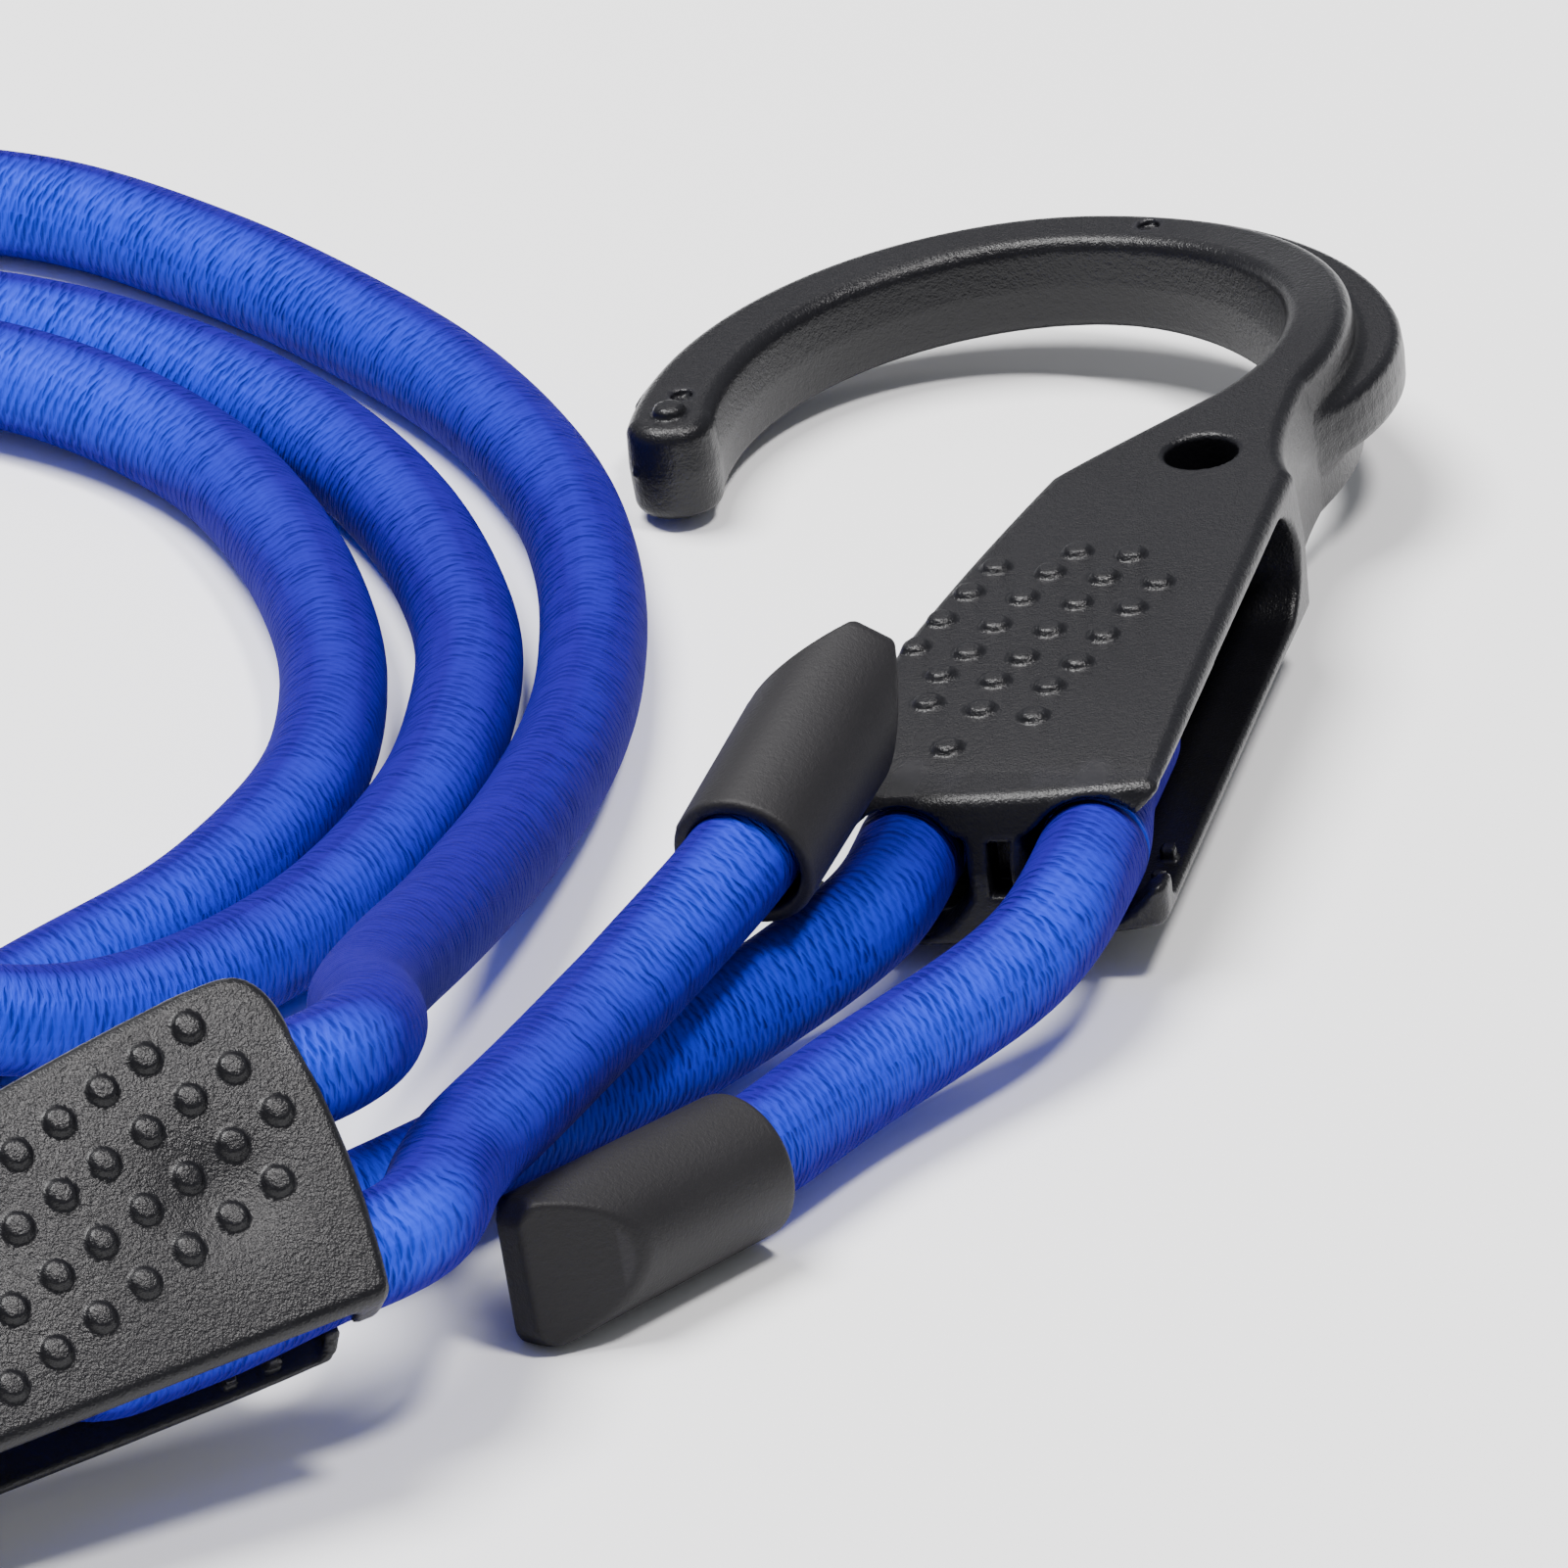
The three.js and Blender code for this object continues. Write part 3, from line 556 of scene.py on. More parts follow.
def union(a: Array, b: Array, r: float) -> Array:
    """Join two fields, with a fillet of radius r where they meet."""
    return np.maximum(r, np.minimum(a, b)) - np.hypot(np.maximum(r - a, 0), np.maximum(r - b, 0))


def meet(a: Array, b: Array, r: float) -> Array:
    """Keep what is in both fields, with an edge rounded by radius r."""
    return np.minimum(-r, np.maximum(a, b)) + np.hypot(np.maximum(r + a, 0), np.maximum(r + b, 0))


def cut(a: Array, b: Array, r: float) -> Array:
    """Take the second field out of the first, with the cut's edge rounded by radius r."""
    return meet(a, -b, r)


def bow(first: Sequence[float], handle: Sequence[float], last: Sequence[float], count: int = 24) -> Array:
    """Points of a quadratic curve between two places, drawn towards a handle."""
    t = np.linspace(0.0, 1.0, count)[:, None]
    a, b, c = np.array(first), np.array(handle), np.array(last)
    return a * (1 - t) ** 2 + 2 * b * t * (1 - t) + c * t**2


class Plan:
    """The signed distance to a closed outline, kept as a fine table and read between its places."""

    LOW = (-14.0, -24.0)
    HIGH = (106.0, 52.0)
    STEP = 0.125

    def __init__(self, outline: Array) -> None:
        """Fill the table for an outline, whose corners are in millimetres, one row each."""
        x = np.arange(self.LOW[0], self.HIGH[0], self.STEP)[:, None]
        y = np.arange(self.LOW[1], self.HIGH[1], self.STEP)[None, :]
        least = np.full((x.size, y.size), np.inf)
        inside = np.zeros(least.shape, dtype=bool)
        for (ax, ay), (bx, by) in zip(outline, np.roll(outline, -1, axis=0)):
            ex, ey = bx - ax, by - ay
            share = np.clip(((x - ax) * ex + (y - ay) * ey) / max(ex * ex + ey * ey, 1e-12), 0.0, 1.0)
            least = np.minimum(least, (x - ax - share * ex) ** 2 + (y - ay - share * ey) ** 2)
            if ay != by:
                inside ^= ((ay > y) != (by > y)) & (x < ax + (y - ay) * ex / ey)
        self.table = np.where(inside, -np.sqrt(least), np.sqrt(least))

    def __call__(self, x: Array, y: Array) -> Array:
        """The signed distance at places, negative inside the outline."""
        i = np.clip((x - self.LOW[0]) / self.STEP, 0.0, self.table.shape[0] - 1.001)
        j = np.clip((y - self.LOW[1]) / self.STEP, 0.0, self.table.shape[1] - 1.001)
        i, j = np.broadcast_arrays(i, j)
        i0, j0 = i.astype(int), j.astype(int)
        s, t = i - i0, j - j0
        near = self.table[i0, j0] * (1 - t) + self.table[i0, j0 + 1] * t
        far = self.table[i0 + 1, j0] * (1 - t) + self.table[i0 + 1, j0 + 1] * t
        return near * (1 - s) + far * s


@dataclass(frozen=True)
class Skin:
    """A field's surface as points, quads, normals and a mask of its rims."""

    points: Array
    quads: Array
    normals: Array
    rim: Array

    # Reaches in millimetres: of the slope that moves a point, of the slope that shades it, and how deep and
    # over what spread the rims' mask looks for the solid under a point
    MOVE_REACH = 0.02
    SHADE_REACH = 0.14
    RIM_DEPTH = 0.5
    RIM_SPREAD = 0.2

    @staticmethod
    def slope(form: Field, p: Array, reach: float) -> Array:
        """The field's slope at points, from its values a short way off along each axis."""
        steps = np.eye(3) * reach
        return np.stack([form(*(p + s).T) - form(*(p - s).T) for s in steps], axis=1) / (2 * reach)

    @classmethod
    def of(cls, form: Field, low: Sequence[float], high: Sequence[float], step: float) -> "Skin":
        """Find a field's surface.

        Each grid cell that the surface crosses gets one point, at the middle of its crossings, and
        each crossed grid edge gets one quad. The points are then moved onto the surface.

        Args:
            form: The field, negative inside the solid.
            low: The grid's lower corner, in millimetres.
            high: The grid's upper corner.
            step: The distance between grid places.

        Returns:
            The skin, with its faces outward.
        """
        axes = [np.arange(a, b + step, step) for a, b in zip(low, high)]
        value = form(*np.meshgrid(*axes, indexing="ij", sparse=True))
        inside = value < 0
        n = np.array(value.shape)
        corner = np.array(list(np.ndindex(2, 2, 2)))
        filled = np.zeros(n - 1, dtype=np.int8)
        for a, b, c in corner:
            filled += inside[a:n[0] - 1 + a, b:n[1] - 1 + b, c:n[2] - 1 + c]
        cell = np.argwhere((filled > 0) & (filled < len(corner)))
        pairs = [(i, j) for i in range(8) for j in range(i, 8) if np.abs(corner[i] - corner[j]).sum() == 1]
        first, second = np.array(pairs).T
        held = value[tuple(np.moveaxis(cell[:, None, :] + corner, -1, 0))]
        a, b = held[:, first], held[:, second]
        crossed = (a < 0) != (b < 0)
        share = np.where(crossed, a / np.where(crossed, a - b, 1.0), 0.0)
        place = corner[first] + share[..., None] * (corner[second] - corner[first])
        middle = (place * crossed[..., None]).sum(axis=1) / crossed.sum(axis=1)[:, None]
        points = np.array(low) + (cell + middle) * step
        index = np.full(filled.shape, -1)
        index[tuple(cell.T)] = np.arange(len(cell))
        quads = []
        for axis in range(3):
            ahead = np.moveaxis(inside, axis, 0)
            change = ahead[:-1] != ahead[1:]
            at = np.argwhere(np.moveaxis(change, 0, axis))
            e1, e2 = np.eye(3, dtype=int)[[(axis + 1) % 3, (axis + 2) % 3]]
            quad = np.stack([index[tuple((at - o).T)] for o in (e1 + e2, e2, 0 * e1, e1)], axis=1)
            solid_first = inside[tuple(at.T)]
            quads.append(np.where(solid_first[:, None], quad, quad[:, ::-1]))
        for _ in range(3):
            g = cls.slope(form, points, cls.MOVE_REACH)
            move = form(*points.T)[:, None] * g / np.maximum((g**2).sum(axis=1, keepdims=True), 0.05)
            points = points - np.clip(move, -0.6 * step, 0.6 * step)
        normals = unit(cls.slope(form, points, cls.SHADE_REACH) + 1e-9)
        under = form(*(points - cls.RIM_DEPTH * normals).T)
        rim = np.clip((under + cls.RIM_DEPTH) / cls.RIM_SPREAD, 0.0, 1.0)
        return cls(points, np.vstack(quads), normals, rim)

    def place(self, name: str, turn: Array, shift: Array) -> Piece:
        """Make the skin into a piece.

        Args:
            name: The piece's name.
            turn: A matrix whose rows are the skin's own axes in the model's frame.
            shift: The skin's origin in the model's frame, in millimetres.

        Returns:
            The piece, with the mask of its rims as the point attribute "rim".
        """
        piece = mesh_object(name, self.points @ turn + shift, [self.quads])
        mesh = piece.data
        mesh.attributes.new("rim", "FLOAT", "POINT").data.foreach_set("value", self.rim.astype(np.float32))
        mesh.normals_split_custom_set_from_vertices(self.normals @ turn)
        LOG.info("%s: %d points, %d faces", name, len(self.points), len(self.quads))
        return piece


@dataclass(frozen=True)
class HookForm:
    """One moulded hook in its own frame: X from the mouth to the ring, Y to the tip's side.

    A sink is a shallow hollow in the lower face: its place, its half widths and its depth. A tooth row is
    its place along the hook and the face, 1 or -1, that its taller tooth stands on.
    """

    half: float = 6.0
    right: float = 12.3
    left: float = 14.4
    body: float = 50.0
    window_half: float = 4.3
    window_end: float = 43.7
    lip: float = 2.5
    lip_half: float = 2.3
    lip_side: float = 1.8
    open_side: float = 25.0
    bore: float = 4.5
    ring: Pair = (72.8, 14.2)
    ring_inner: float = 19.1
    ring_outer: float = 24.5
    flare_inner: float = 4.4
    flare_outer: float = 6.0
    rib_half: float = 2.3
    rib_swell: float = 3.9
    tip_half: float = 3.8
    neck_start: float = -100.0
    tip_angle: float = 110.0
    upper_step: float = 2.2
    narrowing: float = 1.6
    bump_rise: float = 0.44
    bump_top: float = 0.78
    bump_foot: float = 1.3
    button_radius: float = 1.25
    button_rise: float = 0.7
    nub: Pair = (61.2, 41.9)
    nub_radius: float = 0.42
    hole: Pair = (52.7, -3.8)
    hole_radius: float = 2.7
    pins: tuple[Pair, ...] = ((66.7, 39.4), (94.6, 9.9))
    pin_radius: float = 0.8
    pin_depth: float = 0.5
    tooth_rows: tuple[Pair, ...] = ((5.4, 1.0), (8.8, -1.0))
    tooth_shift: float = 0.8
    tooth_side: float = 10.3
    tooth_height: float = 3.95
    sinks: tuple[tuple[float, ...], ...] = (
        (8.0, -0.5, 4.2, 3.8, 0.5), (27.0, 3.0, 4.5, 5.5, 0.36), (39.0, -1.0, 5.0, 5.0, 0.3))
    step: float = 0.35

    def around(self, degrees: Array, radius: Array, flare: float) -> Array:
        """Points round the ring's centre, opening out towards the tip by a flare."""
        degrees = np.asarray(degrees, dtype=float)
        out = radius + flare * np.clip((degrees - 20.0) / 90.0, 0.0, None) ** 2
        angle = np.radians(degrees)
        return np.stack([self.ring[0] + out * np.cos(angle), self.ring[1] + out * np.sin(angle)], axis=1)

    def tip_radius(self) -> float:
        """Half the ring's width at its round tip."""
        return (self.ring_outer + self.flare_outer - self.ring_inner - self.flare_inner) / 2

    def tip_middle(self) -> Array:
        """The middle of the ring's round tip."""
        return self.around([self.tip_angle], self.ring_inner + self.flare_inner + self.tip_radius(), 0.0)[0]

    def outline(self) -> Array:
        """The plan of the body, the neck and the ring, open-fronted beyond the mouth."""
        neck = self.around([self.neck_start], self.ring_outer, 0.0)[0]
        round_ring = np.arange(self.neck_start, self.tip_angle, 2.0)
        outer = self.around(round_ring, self.ring_outer, self.flare_outer)
        turn = np.radians(np.arange(self.tip_angle, self.tip_angle + 180.0, 9.0))
        tip = self.tip_middle() + self.tip_radius() * np.stack([np.cos(turn), np.sin(turn)], axis=1)
        inner = self.around(np.arange(self.tip_angle, -128.0, -2.0), self.ring_inner, self.flare_inner)
        return np.vstack([
            [[-12.0, -self.right]],
            bow((self.body, -self.right + 0.7), (self.body + 3.4, -self.right + 3.4), neck + (-3.4, 0.7), 12),
            outer, tip, inner,
            bow(inner[-1], (self.body + 1.0, 6.1), (self.body - 1.0, 7.1), 12),
            bow((self.body - 1.0, 7.1), (24.0, 12.8), (1.7, self.left))[1:],
            [[-12.0, self.left + 0.6]],
        ])

    def mouth_outline(self, open_side: float) -> Array:
        """The plan behind the mouth's bowed edge, with a left side that runs outward from open_side."""
        edge = bow((0.0, -self.right), (-3.0, -0.2 * self.right), (-3.0, self.left - 4.7))
        corner = bow((-3.0, self.left - 4.7), (-3.0, self.left), (1.7, self.left))
        start = (open_side, self.left + 0.2 * (open_side - 1.7))
        side = [start, (open_side, 51.0), (105.0, 51.0), (105.0, -22.0)]
        return np.vstack([[[3.0, -22.0]], edge, corner[1:], side])

    def rib_outline(self) -> Array:
        """The plan of the rib round the ring: widest beside the neck, fading towards the tip."""
        share = np.linspace(0.0, 1.0, 70)
        degrees = -108.0 + 206.0 * share
        swell = np.sin(np.minimum(1.0, share / 0.2) * np.pi / 2) * (1.0 - 0.75 * share)
        outer = self.around(degrees, self.ring_outer + self.rib_swell * swell, self.flare_outer)
        inner = self.around(degrees[::-1], self.ring_inner + 2.7, self.flare_inner)
        return np.vstack([outer, inner])

    @staticmethod
    def bump_places(face: int) -> Array:
        """The middles of the grip's bumps on the upper face, 1, or on the lower face, -1."""
        upper = [(36.5, 1.85, -0.5, -4.18, 2), (34.0, 7.38, -0.8, -4.24, 4), (30.0, 8.49, -0.8, -4.24, 4),
                 (25.75, 9.59, -0.8, -4.24, 4), (21.5, 10.58, -0.8, -4.24, 4), (17.25, 7.63, -0.9, -4.24, 3),
                 (13.0, 7.63, -1.0, -4.18, 3), (6.5, 4.67, -1.0, -4.18, 1)]
        lower = [(4.0, 11.32, 4.0, -0.98, 6), (2.5, 7.38, 4.0, -0.98, 7), (1.15, 3.32, 4.1, -1.01, 8),
                 (3.65, -1.35, 4.15, -1.08, 7)]
        rows = upper if face > 0 else lower
        return np.array([(x + i * dx, y + i * dy) for x, y, dx, dy, n in rows for i in range(n)])

    def bumps(self, x: Array, y: Array, face: int) -> Array:
        """How far the low flat-topped bumps stand out of the upper face, 1, or the lower face, -1."""
        near = np.minimum.reduce([np.hypot(x - a, y - b) for a, b in self.bump_places(face)])
        raised = smooth_step(-near, -self.bump_foot, -self.bump_top)
        return self.bump_rise * raised - 0.05 * np.minimum(near, 1.2) ** 2

    def faces(self, x: Array, y: Array) -> tuple[Array, Array]:
        """The heights of the upper and the lower face with their bumps, which fall towards the ring's tip."""
        angle = np.degrees(np.arctan2(y - self.ring[1], x - self.ring[0]))
        on_body = x < self.body
        beyond = (x > self.body) | (y > 15.1)
        fall = (1 - self.tip_half / self.half) * smooth_step(angle, self.neck_start, 0.0)
        height = self.half * (1.0 - np.where(beyond, fall, 0.0))
        droop = 0.75 * np.exp(-np.maximum(x - 3.0, 0.0) / 8.0) * on_body
        crown = np.where(on_body, 0.28 * ((y - 1.0) / 13.0) ** 2, 0.0)
        crown = crown * smooth_step(-x, -self.body, -self.body + 12)
        sink = sum(deep * np.exp(-(((x - a) / p) ** 2) - ((y - b) / q) ** 2)
                   for a, b, p, q, deep in self.sinks)
        return height - droop + self.bumps(x, y, 1), height - crown - sink + self.bumps(x, y, -1)

    def outside(self, p: Sequence[Array], top: Array, low: Array, walls: Array, rib: Array) -> Array:
        """The body and ring between its faces, with the rib, the tip's round buttons and the nub.

        Top and low are the faces' heights, and walls and rib the distances to the two outlines.
        """
        x, y, z = p
        rise = np.abs(z)
        made = meet(meet(walls + 0.05 * rise, z - top, 1.15), -z - low, 0.95)
        made = union(made, meet(rib + 0.06 * rise, rise - self.rib_half, 0.8), 0.9)
        tip = self.tip_middle()
        post = np.hypot(x - tip[0], y - tip[1])
        button = meet(post - self.button_radius, rise - self.tip_half - self.button_rise, 0.55)
        made = union(made, button, 0.3)
        nub = np.sqrt((x - self.nub[0]) ** 2 + (y - self.nub[1]) ** 2 + z**2) - self.nub_radius
        return union(made, nub, 0.1)

    def hollow(self, x: Array, y: Array, z: Array, lips: Array) -> Array:
        """The room inside the body: windows behind the lips, mouth and arches, less the cleat."""
        rise = np.abs(z)
        cleat = np.where(x < CLEAT_NOSE, np.abs(y), np.hypot(x - CLEAT_NOSE, y)) - CLEAT_WIDTH / 2
        cleat = cleat + 0.8 * smooth_step(-x, -1.0, 3.0) + self.narrowing * smooth_step(x, 0.0, 11.0)
        slot = np.where(x < self.window_end, rise, np.hypot(x - self.window_end, z)) - self.window_half
        window = meet(slot, lips, 0.9)
        flare = 0.8 * smooth_step(-x, -1.5, 3.0) * smooth_step(-z, -2.5, 1.5)
        arches = np.hypot(np.abs(y) - LEG_OFFSET, z) - self.bore - flare
        mouth = meet(union(rise - self.lip_half, arches, 0.7), x - 2 * self.lip, 0.3)
        return meet(union(window, mouth, 0.3), -cleat, 0.6)

    def with_teeth(self, made: Array, x: Array, y: Array, z: Array) -> Array:
        """Add the grip teeth behind the mouth: at each row a taller tooth and, facing it, a lower one."""
        for place, face in self.tooth_rows:
            for side, half_length, half_height in ((1.0, 0.55, 0.7), (-1.0, 0.5, 0.45)):
                along = np.abs(x - place - side * self.tooth_shift * face)
                tooth = np.maximum(along, np.abs(np.abs(y) - self.tooth_side)) - half_length
                tooth = np.maximum(tooth, np.abs(face * z - side * self.tooth_height) - half_height)
                made = union(made, tooth, 0.2)
        return made

    def field(self) -> Field:
        """Put together the signed distance to the hook, near enough, at places in its own frame."""
        mouth, lips = self.mouth_outline(self.open_side), self.mouth_outline(self.lip_side)
        plan, rib_plan, mouth_plan, lip_plan = map(Plan, (self.outline(), self.rib_outline(), mouth, lips))
        lean = self.upper_step / self.half

        def form(x: Array, y: Array, z: Array) -> Array:
            """The outside, cut back at the mouth and hollowed, with its teeth, holes and pin marks."""
            top, low = self.faces(x, y)
            made = self.outside((x, y, z), top, low, plan(x, y), rib_plan(x, y))
            made = meet(made, mouth_plan(x - lean * np.maximum(z, 0.0), y) * 0.94, 0.85)
            made = cut(made, self.hollow(x, y, z, lip_plan(x - self.lip, y)), 0.5)
            notch = np.maximum(np.maximum(np.abs(y + 0.5) - 0.8, x - 0.5), np.abs(z) - 2.0)
            made = self.with_teeth(cut(made, notch, 0.3), x, y, z)
            corner = np.maximum(np.maximum(0.64 * (y + 9.0) + 0.77 * (z - 2.0), x - 2.5), -z)
            made = cut(made, corner, 0.3)
            made = cut(made, np.hypot(x - self.hole[0], y - self.hole[1]) - self.hole_radius, 0.45)
            for a, b in self.pins:
                pin = np.maximum(np.hypot(x - a, y - b) - self.pin_radius, top - self.pin_depth - z)
                made = cut(made, pin, 0.2)
            return made

        return form

    def build(self) -> None:
        """Build both hooks from one skin."""
        skin = Skin.of(self.field(), (-6.0, -15.5, -8.0), (104.0, 47.0, 8.0), self.step)
        for letter, place in (("a", HOOK_A), ("b", HOOK_B)):
            piece = skin.place(f"moulded_hook_{letter}", place.axes(), np.array(place.mouth))
            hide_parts(f"hook_{letter}")
            dress(piece, HOOK_FINISH.material(), f"hook_{letter}_body")


@dataclass(frozen=True)
class CapForm:
    """A moulded end cap in its own frame: a sleeve along Z, closed by a chisel end."""

    radius: float = 5.4
    length: float = 23.0
    floor: float = 6.5
    ridge: float = 2.3
    chisel: float = 7.2
    corner: float = 1.1
    swell: float = 0.012
    mould_line: float = 0.07
    mould_line_width: float = 0.25
    gap: float = 0.3
    turns: tuple[tuple[str, float], ...] = (("a", 60.0), ("b", 90.0))
    step: float = 0.23

    def field(self) -> Field:
        """Put together the signed distance to the cap, near enough, at places in its own frame."""
        run = self.radius - self.ridge / 2
        slant = math.hypot(run, self.chisel)

        def form(x: Array, y: Array, z: Array) -> Array:
            """The sleeve with its mould line, cut to a chisel end with bevelled corners, and bored."""
            out = np.hypot(x, y)
            line = self.mould_line * np.exp(-((x / self.mould_line_width) ** 2)) * (y > 0)
            made = meet(out - self.radius - line - self.swell * z, -z, 0.5)
            made = meet(made, z - self.length, 0.35)
            ends = (np.abs(x) - self.radius + self.corner + z - self.length) * math.sqrt(0.5)
            made = meet(made, ends, 0.4)
            bevel = (np.abs(y) - self.ridge / 2) * (self.chisel / slant) + (z - self.length) * (run / slant)
            made = meet(made, bevel, 0.3)
            bore = np.maximum(out - CORD_RADIUS - SLIP_FIT, z - self.length + self.floor)
            return cut(made, bore, 0.35)

        return form

    def build(self, tails: dict[str, "Route"]) -> dict[str, Piece]:
        """Build a cap on the end of each tail, and return the caps by the tails' letters."""
        reach = self.radius + 0.8
        skin = Skin.of(self.field(), (-reach, -reach, -0.6), (reach, reach, self.length + 0.6), self.step)
        made = {}
        for letter, degrees in self.turns:
            line = tails[letter].line
            along = unit(line[-1] - line[-2])
            turn = Vector((0.0, 0.0, 1.0)).rotation_difference(Vector(along)).to_matrix()
            turn = turn @ Matrix.Rotation(math.radians(degrees), 3, "Z")
            shift = line[-1] + along * (self.gap + self.floor - self.length)
            piece = skin.place(f"tail_cap_{letter}", np.array(turn).T, shift)
            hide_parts(f"cap_{letter}")
            dress(piece, CAP_FINISH.material(), "cord")
            made[letter] = piece
        return made


# The distance between the points of a line whose turns are being eased (millimetres)
EASE_STEP = 0.3


class Route:
    """A smooth line, read at equal steps of its length."""

    def __init__(self, line: Array, floor: bool) -> None:
        """Keep a line of close points, raised to its height on the floor if that is asked for."""
        if floor:
            line[:, 2] = np.maximum(line[:, 2], FLOOR_LINE)
        self.line = line
        self.lengths = np.concatenate([[0.0], np.cumsum(np.linalg.norm(np.diff(line, axis=0), axis=1))])
        self.length = float(self.lengths[-1])

    @classmethod
    def through(cls, points: Array, floor: bool = True) -> "Route":
        """Work out the line through chosen points.

        Each stretch between two points is a cubic whose end slopes come from its neighbours, with
        the square root of each gap as its share of the parameter.

        Args:
            points: The points that it passes, in millimetres, one row each.
            floor: Whether the line is kept from dipping below its height on the floor.
        """
        p = np.vstack([2 * points[0] - points[1], points, 2 * points[-1] - points[-2]])
        gap = np.maximum(np.sqrt(np.linalg.norm(np.diff(p, axis=0), axis=1)), 1e-4)
        before, here, after = gap[:-2, None], gap[1:-1, None], gap[2:, None]
        p0, p1, p2, p3 = p[:-3], p[1:-2], p[2:-1], p[3:]
        slope1 = ((p1 - p0) / before - (p2 - p0) / (before + here) + (p2 - p1) / here) * here
        slope2 = ((p2 - p1) / here - (p3 - p1) / (here + after) + (p3 - p2) / after) * here
        t = np.linspace(0.0, 1.0, 60, endpoint=False)[None, :, None]
        a, b = p1[:, None], slope1[:, None]
        c = (-3 * p1 + 3 * p2 - 2 * slope1 - slope2)[:, None]
        d = (2 * p1 - 2 * p2 + slope1 + slope2)[:, None]
        line = (a + b * t + c * t**2 + d * t**3).reshape(-1, 3)
        return cls(np.vstack([line, p[-2]]), floor)

    def eased(self, reach: float) -> "Route":
        """The same line, kept above the floor, with its turns eased over a reach to each side."""
        line = self.at(np.linspace(0.0, self.length, int(self.length / EASE_STEP) + 1))
        k = int(reach / EASE_STEP)
        weights = np.hanning(2 * k + 3)[1:-1] / np.hanning(2 * k + 3).sum()
        padded = np.vstack([2 * line[0] - line[k:0:-1], line, 2 * line[-1] - line[-2:-k - 2:-1]])
        line = np.stack([np.convolve(padded[:, i], weights, "valid") for i in range(3)], axis=1)
        return Route(line, True)

    def at(self, distances: Array) -> Array:
        """The places at distances along the line."""
        return np.stack([np.interp(distances, self.lengths, self.line[:, k]) for k in range(3)], axis=1)


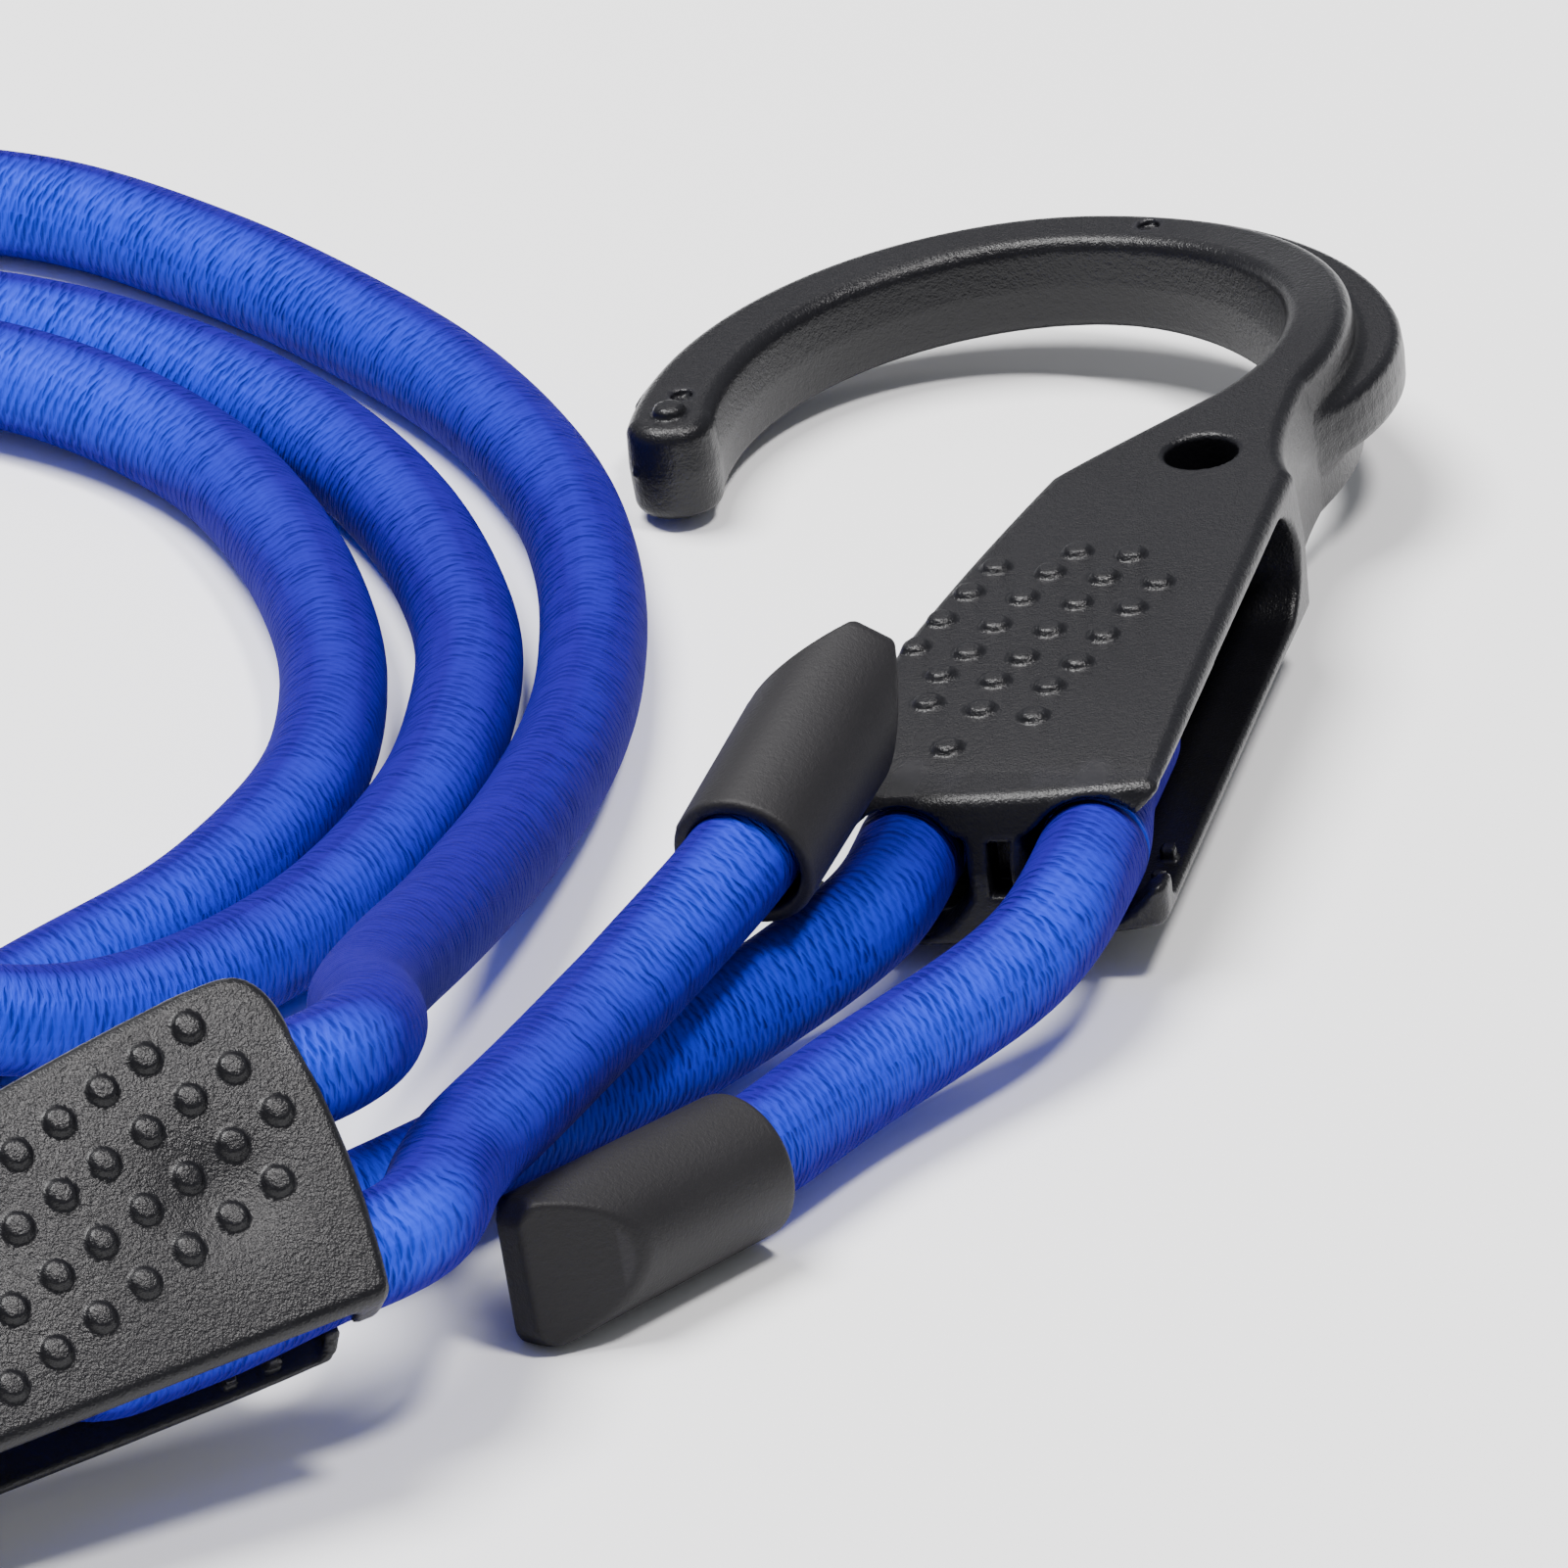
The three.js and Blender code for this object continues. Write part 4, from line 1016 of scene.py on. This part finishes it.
@dataclass
class BraidedCord:
    """The elastic cord: a tube whose sheath rises a little in each column of stitches."""

    ring_step: float = 0.9
    columns: int = 12
    sides_per_column: int = 5
    column_rise: float = 0.02
    turns_per_metre: float = 1.3
    fray: float = 0.05
    waves: tuple[Pair, ...] = ((7.3, 2 * math.pi), (3.1, 9.0))
    ease: float = 9.0
    tail_start: float = 40.0
    bend_start: float = -80.0
    tails: dict[str, tuple[Piece, Array, Route]] = field(default_factory=dict)

    def tube(self, name: str, route: Route, start: float = 0.0) -> tuple[Piece, Array]:
        """Build one closed tube along a route.

        A ring's point stands at the cord's radius, lowered where two columns meet, and the columns
        wind slowly round the cord. Two slow waves, each with its length and its turn round the cord,
        keep it from looking machined.

        Args:
            name: The piece's name.
            route: The line that it follows.
            start: The distance along the whole cord at which the tube starts, for its pattern.

        Returns:
            The piece and its line's points in metres.
        """
        count = max(8, int(round(route.length / self.ring_step)))
        along = np.linspace(0.0, route.length, count + 1)
        line = route.at(along)
        ahead = unit(np.gradient(line, axis=0))
        side = unit(np.cross(np.array([0.0, 0.0, 1.0]), ahead))
        up = np.cross(ahead, side)
        sides = self.columns * self.sides_per_column
        ring = np.arange(sides)
        share = ring / sides
        placed = along + start
        turn = 2 * np.pi * (share[None, :] + (placed * MM * self.turns_per_metre)[:, None])
        crest = np.abs(np.sin(np.pi * share * self.columns))
        slow = sum(np.sin(placed[:, None] / length + turned * share[None, :])
                   for length, turned in self.waves)
        radius = CORD_RADIUS - self.column_rise * (1.0 - crest[None, :]) + 0.5 * self.fray * (slow - 1.0)
        out = np.cos(turn)[..., None] * side[:, None, :] + np.sin(turn)[..., None] * up[:, None, :]
        points = line[:, None, :] + radius[..., None] * out
        points[..., 2] = np.maximum(points[..., 2], 0.05)
        i, j = np.meshgrid(np.arange(count), ring, indexing="ij")
        k = (j + 1) % sides
        quads = np.stack([i * sides + j, i * sides + k, (i + 1) * sides + k, (i + 1) * sides + j], axis=-1)
        u = np.stack([j, j + 1, j + 1, j], axis=-1) / sides
        v = (np.stack([i, i, i + 1, i + 1], axis=-1) / count * route.length + start) * MM
        after = np.roll(ring, -1)
        end = count * sides
        near = np.stack([after, ring, np.full(sides, end + sides)], axis=1)
        far = np.stack([ring + end, after + end, np.full(sides, end + sides + 1)], axis=1)
        ends = [np.tile([0.0, place * MM], (3 * sides, 1)) for place in (start, start + route.length)]
        uv = np.concatenate([np.stack([u, v], axis=-1).reshape(-1, 2), *ends])
        every = np.vstack([points.reshape(-1, 3), line[0], line[-1]])
        piece = mesh_object(name, every, [quads.reshape(-1, 4), near, far], uv)
        dress(piece, BRAID_FINISH.material(), "cord")
        LOG.info("%s: %.0f mm", name, route.length)
        return piece, line * MM

    def leg(self, hook: HookPlace, side: Side) -> Array:
        """Where a leg leaves a hook, from inside its mouth to the end of its straight run."""
        u = np.array([SEAM_DEPTH, -LEG_STRAIGHT / 2, -LEG_STRAIGHT])
        return hook.to_model(np.stack([u, np.full(3, side.value * LEG_OFFSET), np.zeros(3)], axis=1))

    def bend_route(self, hook: HookPlace, tuck: float) -> Route:
        """The cord's line round a hook's cleat, from left leg to right, with each drawn in by a tuck."""
        turn = np.linspace(np.pi / 2, -np.pi / 2, 25)
        radius = LEG_OFFSET - tuck
        arc = np.stack([CLEAT_NOSE + radius * np.cos(turn), radius * np.sin(turn), 0 * turn], axis=1)
        along = np.linspace(SEAM_DEPTH, CLEAT_NOSE - 1.0, 9)
        reach = LEG_OFFSET - tuck * smooth_step(along, 0.0, 11.0)
        left = np.stack([along, reach, 0 * along], axis=1)
        right = left[::-1] * [1, -1, 1]
        return Route.through(hook.to_model(np.vstack([left, arc, right])), floor=False)

    def build(self) -> None:
        stations = [(*station, FLOOR_LINE)[:3] for station in COIL_STATIONS]
        angle, radius, height = np.array(stations, dtype=float).T
        turn = np.radians(angle)
        coil = np.stack([radius * np.cos(turn), radius * np.sin(turn), height], axis=1)
        coil[:, :2] += COIL_CENTRE
        main = Route.through(np.vstack([
            self.leg(HOOK_A, Side.LEFT),
            np.vstack([LEAD_A, coil, LEAD_B]) + LAYOUT_SHIFT,
            self.leg(HOOK_B, Side.LEFT)[::-1],
        ])).eased(self.ease)
        piece, path = self.tube("elastic_cord_main", main)
        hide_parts("cord_lead_a", "cord_coil", "cord_lead_b")
        for letter, hook, points in (("a", HOOK_A, TAIL_A), ("b", HOOK_B, TAIL_B)):
            points = np.vstack([self.leg(hook, Side.RIGHT), np.array(points) + LAYOUT_SHIFT])
            route = Route.through(points).eased(self.ease)
            piece, path = self.tube(f"elastic_cord_tail_{letter}", route, self.tail_start)
            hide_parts(f"cord_tail_{letter}")
            self.tails[letter] = (piece, path, route)
            around_cleat = self.bend_route(hook, TUCKS[letter])
            bend, _ = self.tube(f"elastic_cord_bend_{letter}", around_cleat, self.bend_start)
            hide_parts(f"cord_bend_{letter}")


def main() -> None:
    """Build the camera, the studio, the cord, the hooks and the caps in order."""
    Camera().build()
    Studio().build()
    cord = BraidedCord()
    cord.build()
    HookForm().build()
    caps = CapForm().build({letter: kept[2] for letter, kept in cord.tails.items()})
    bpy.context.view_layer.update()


if __name__ == "__main__":
    main()
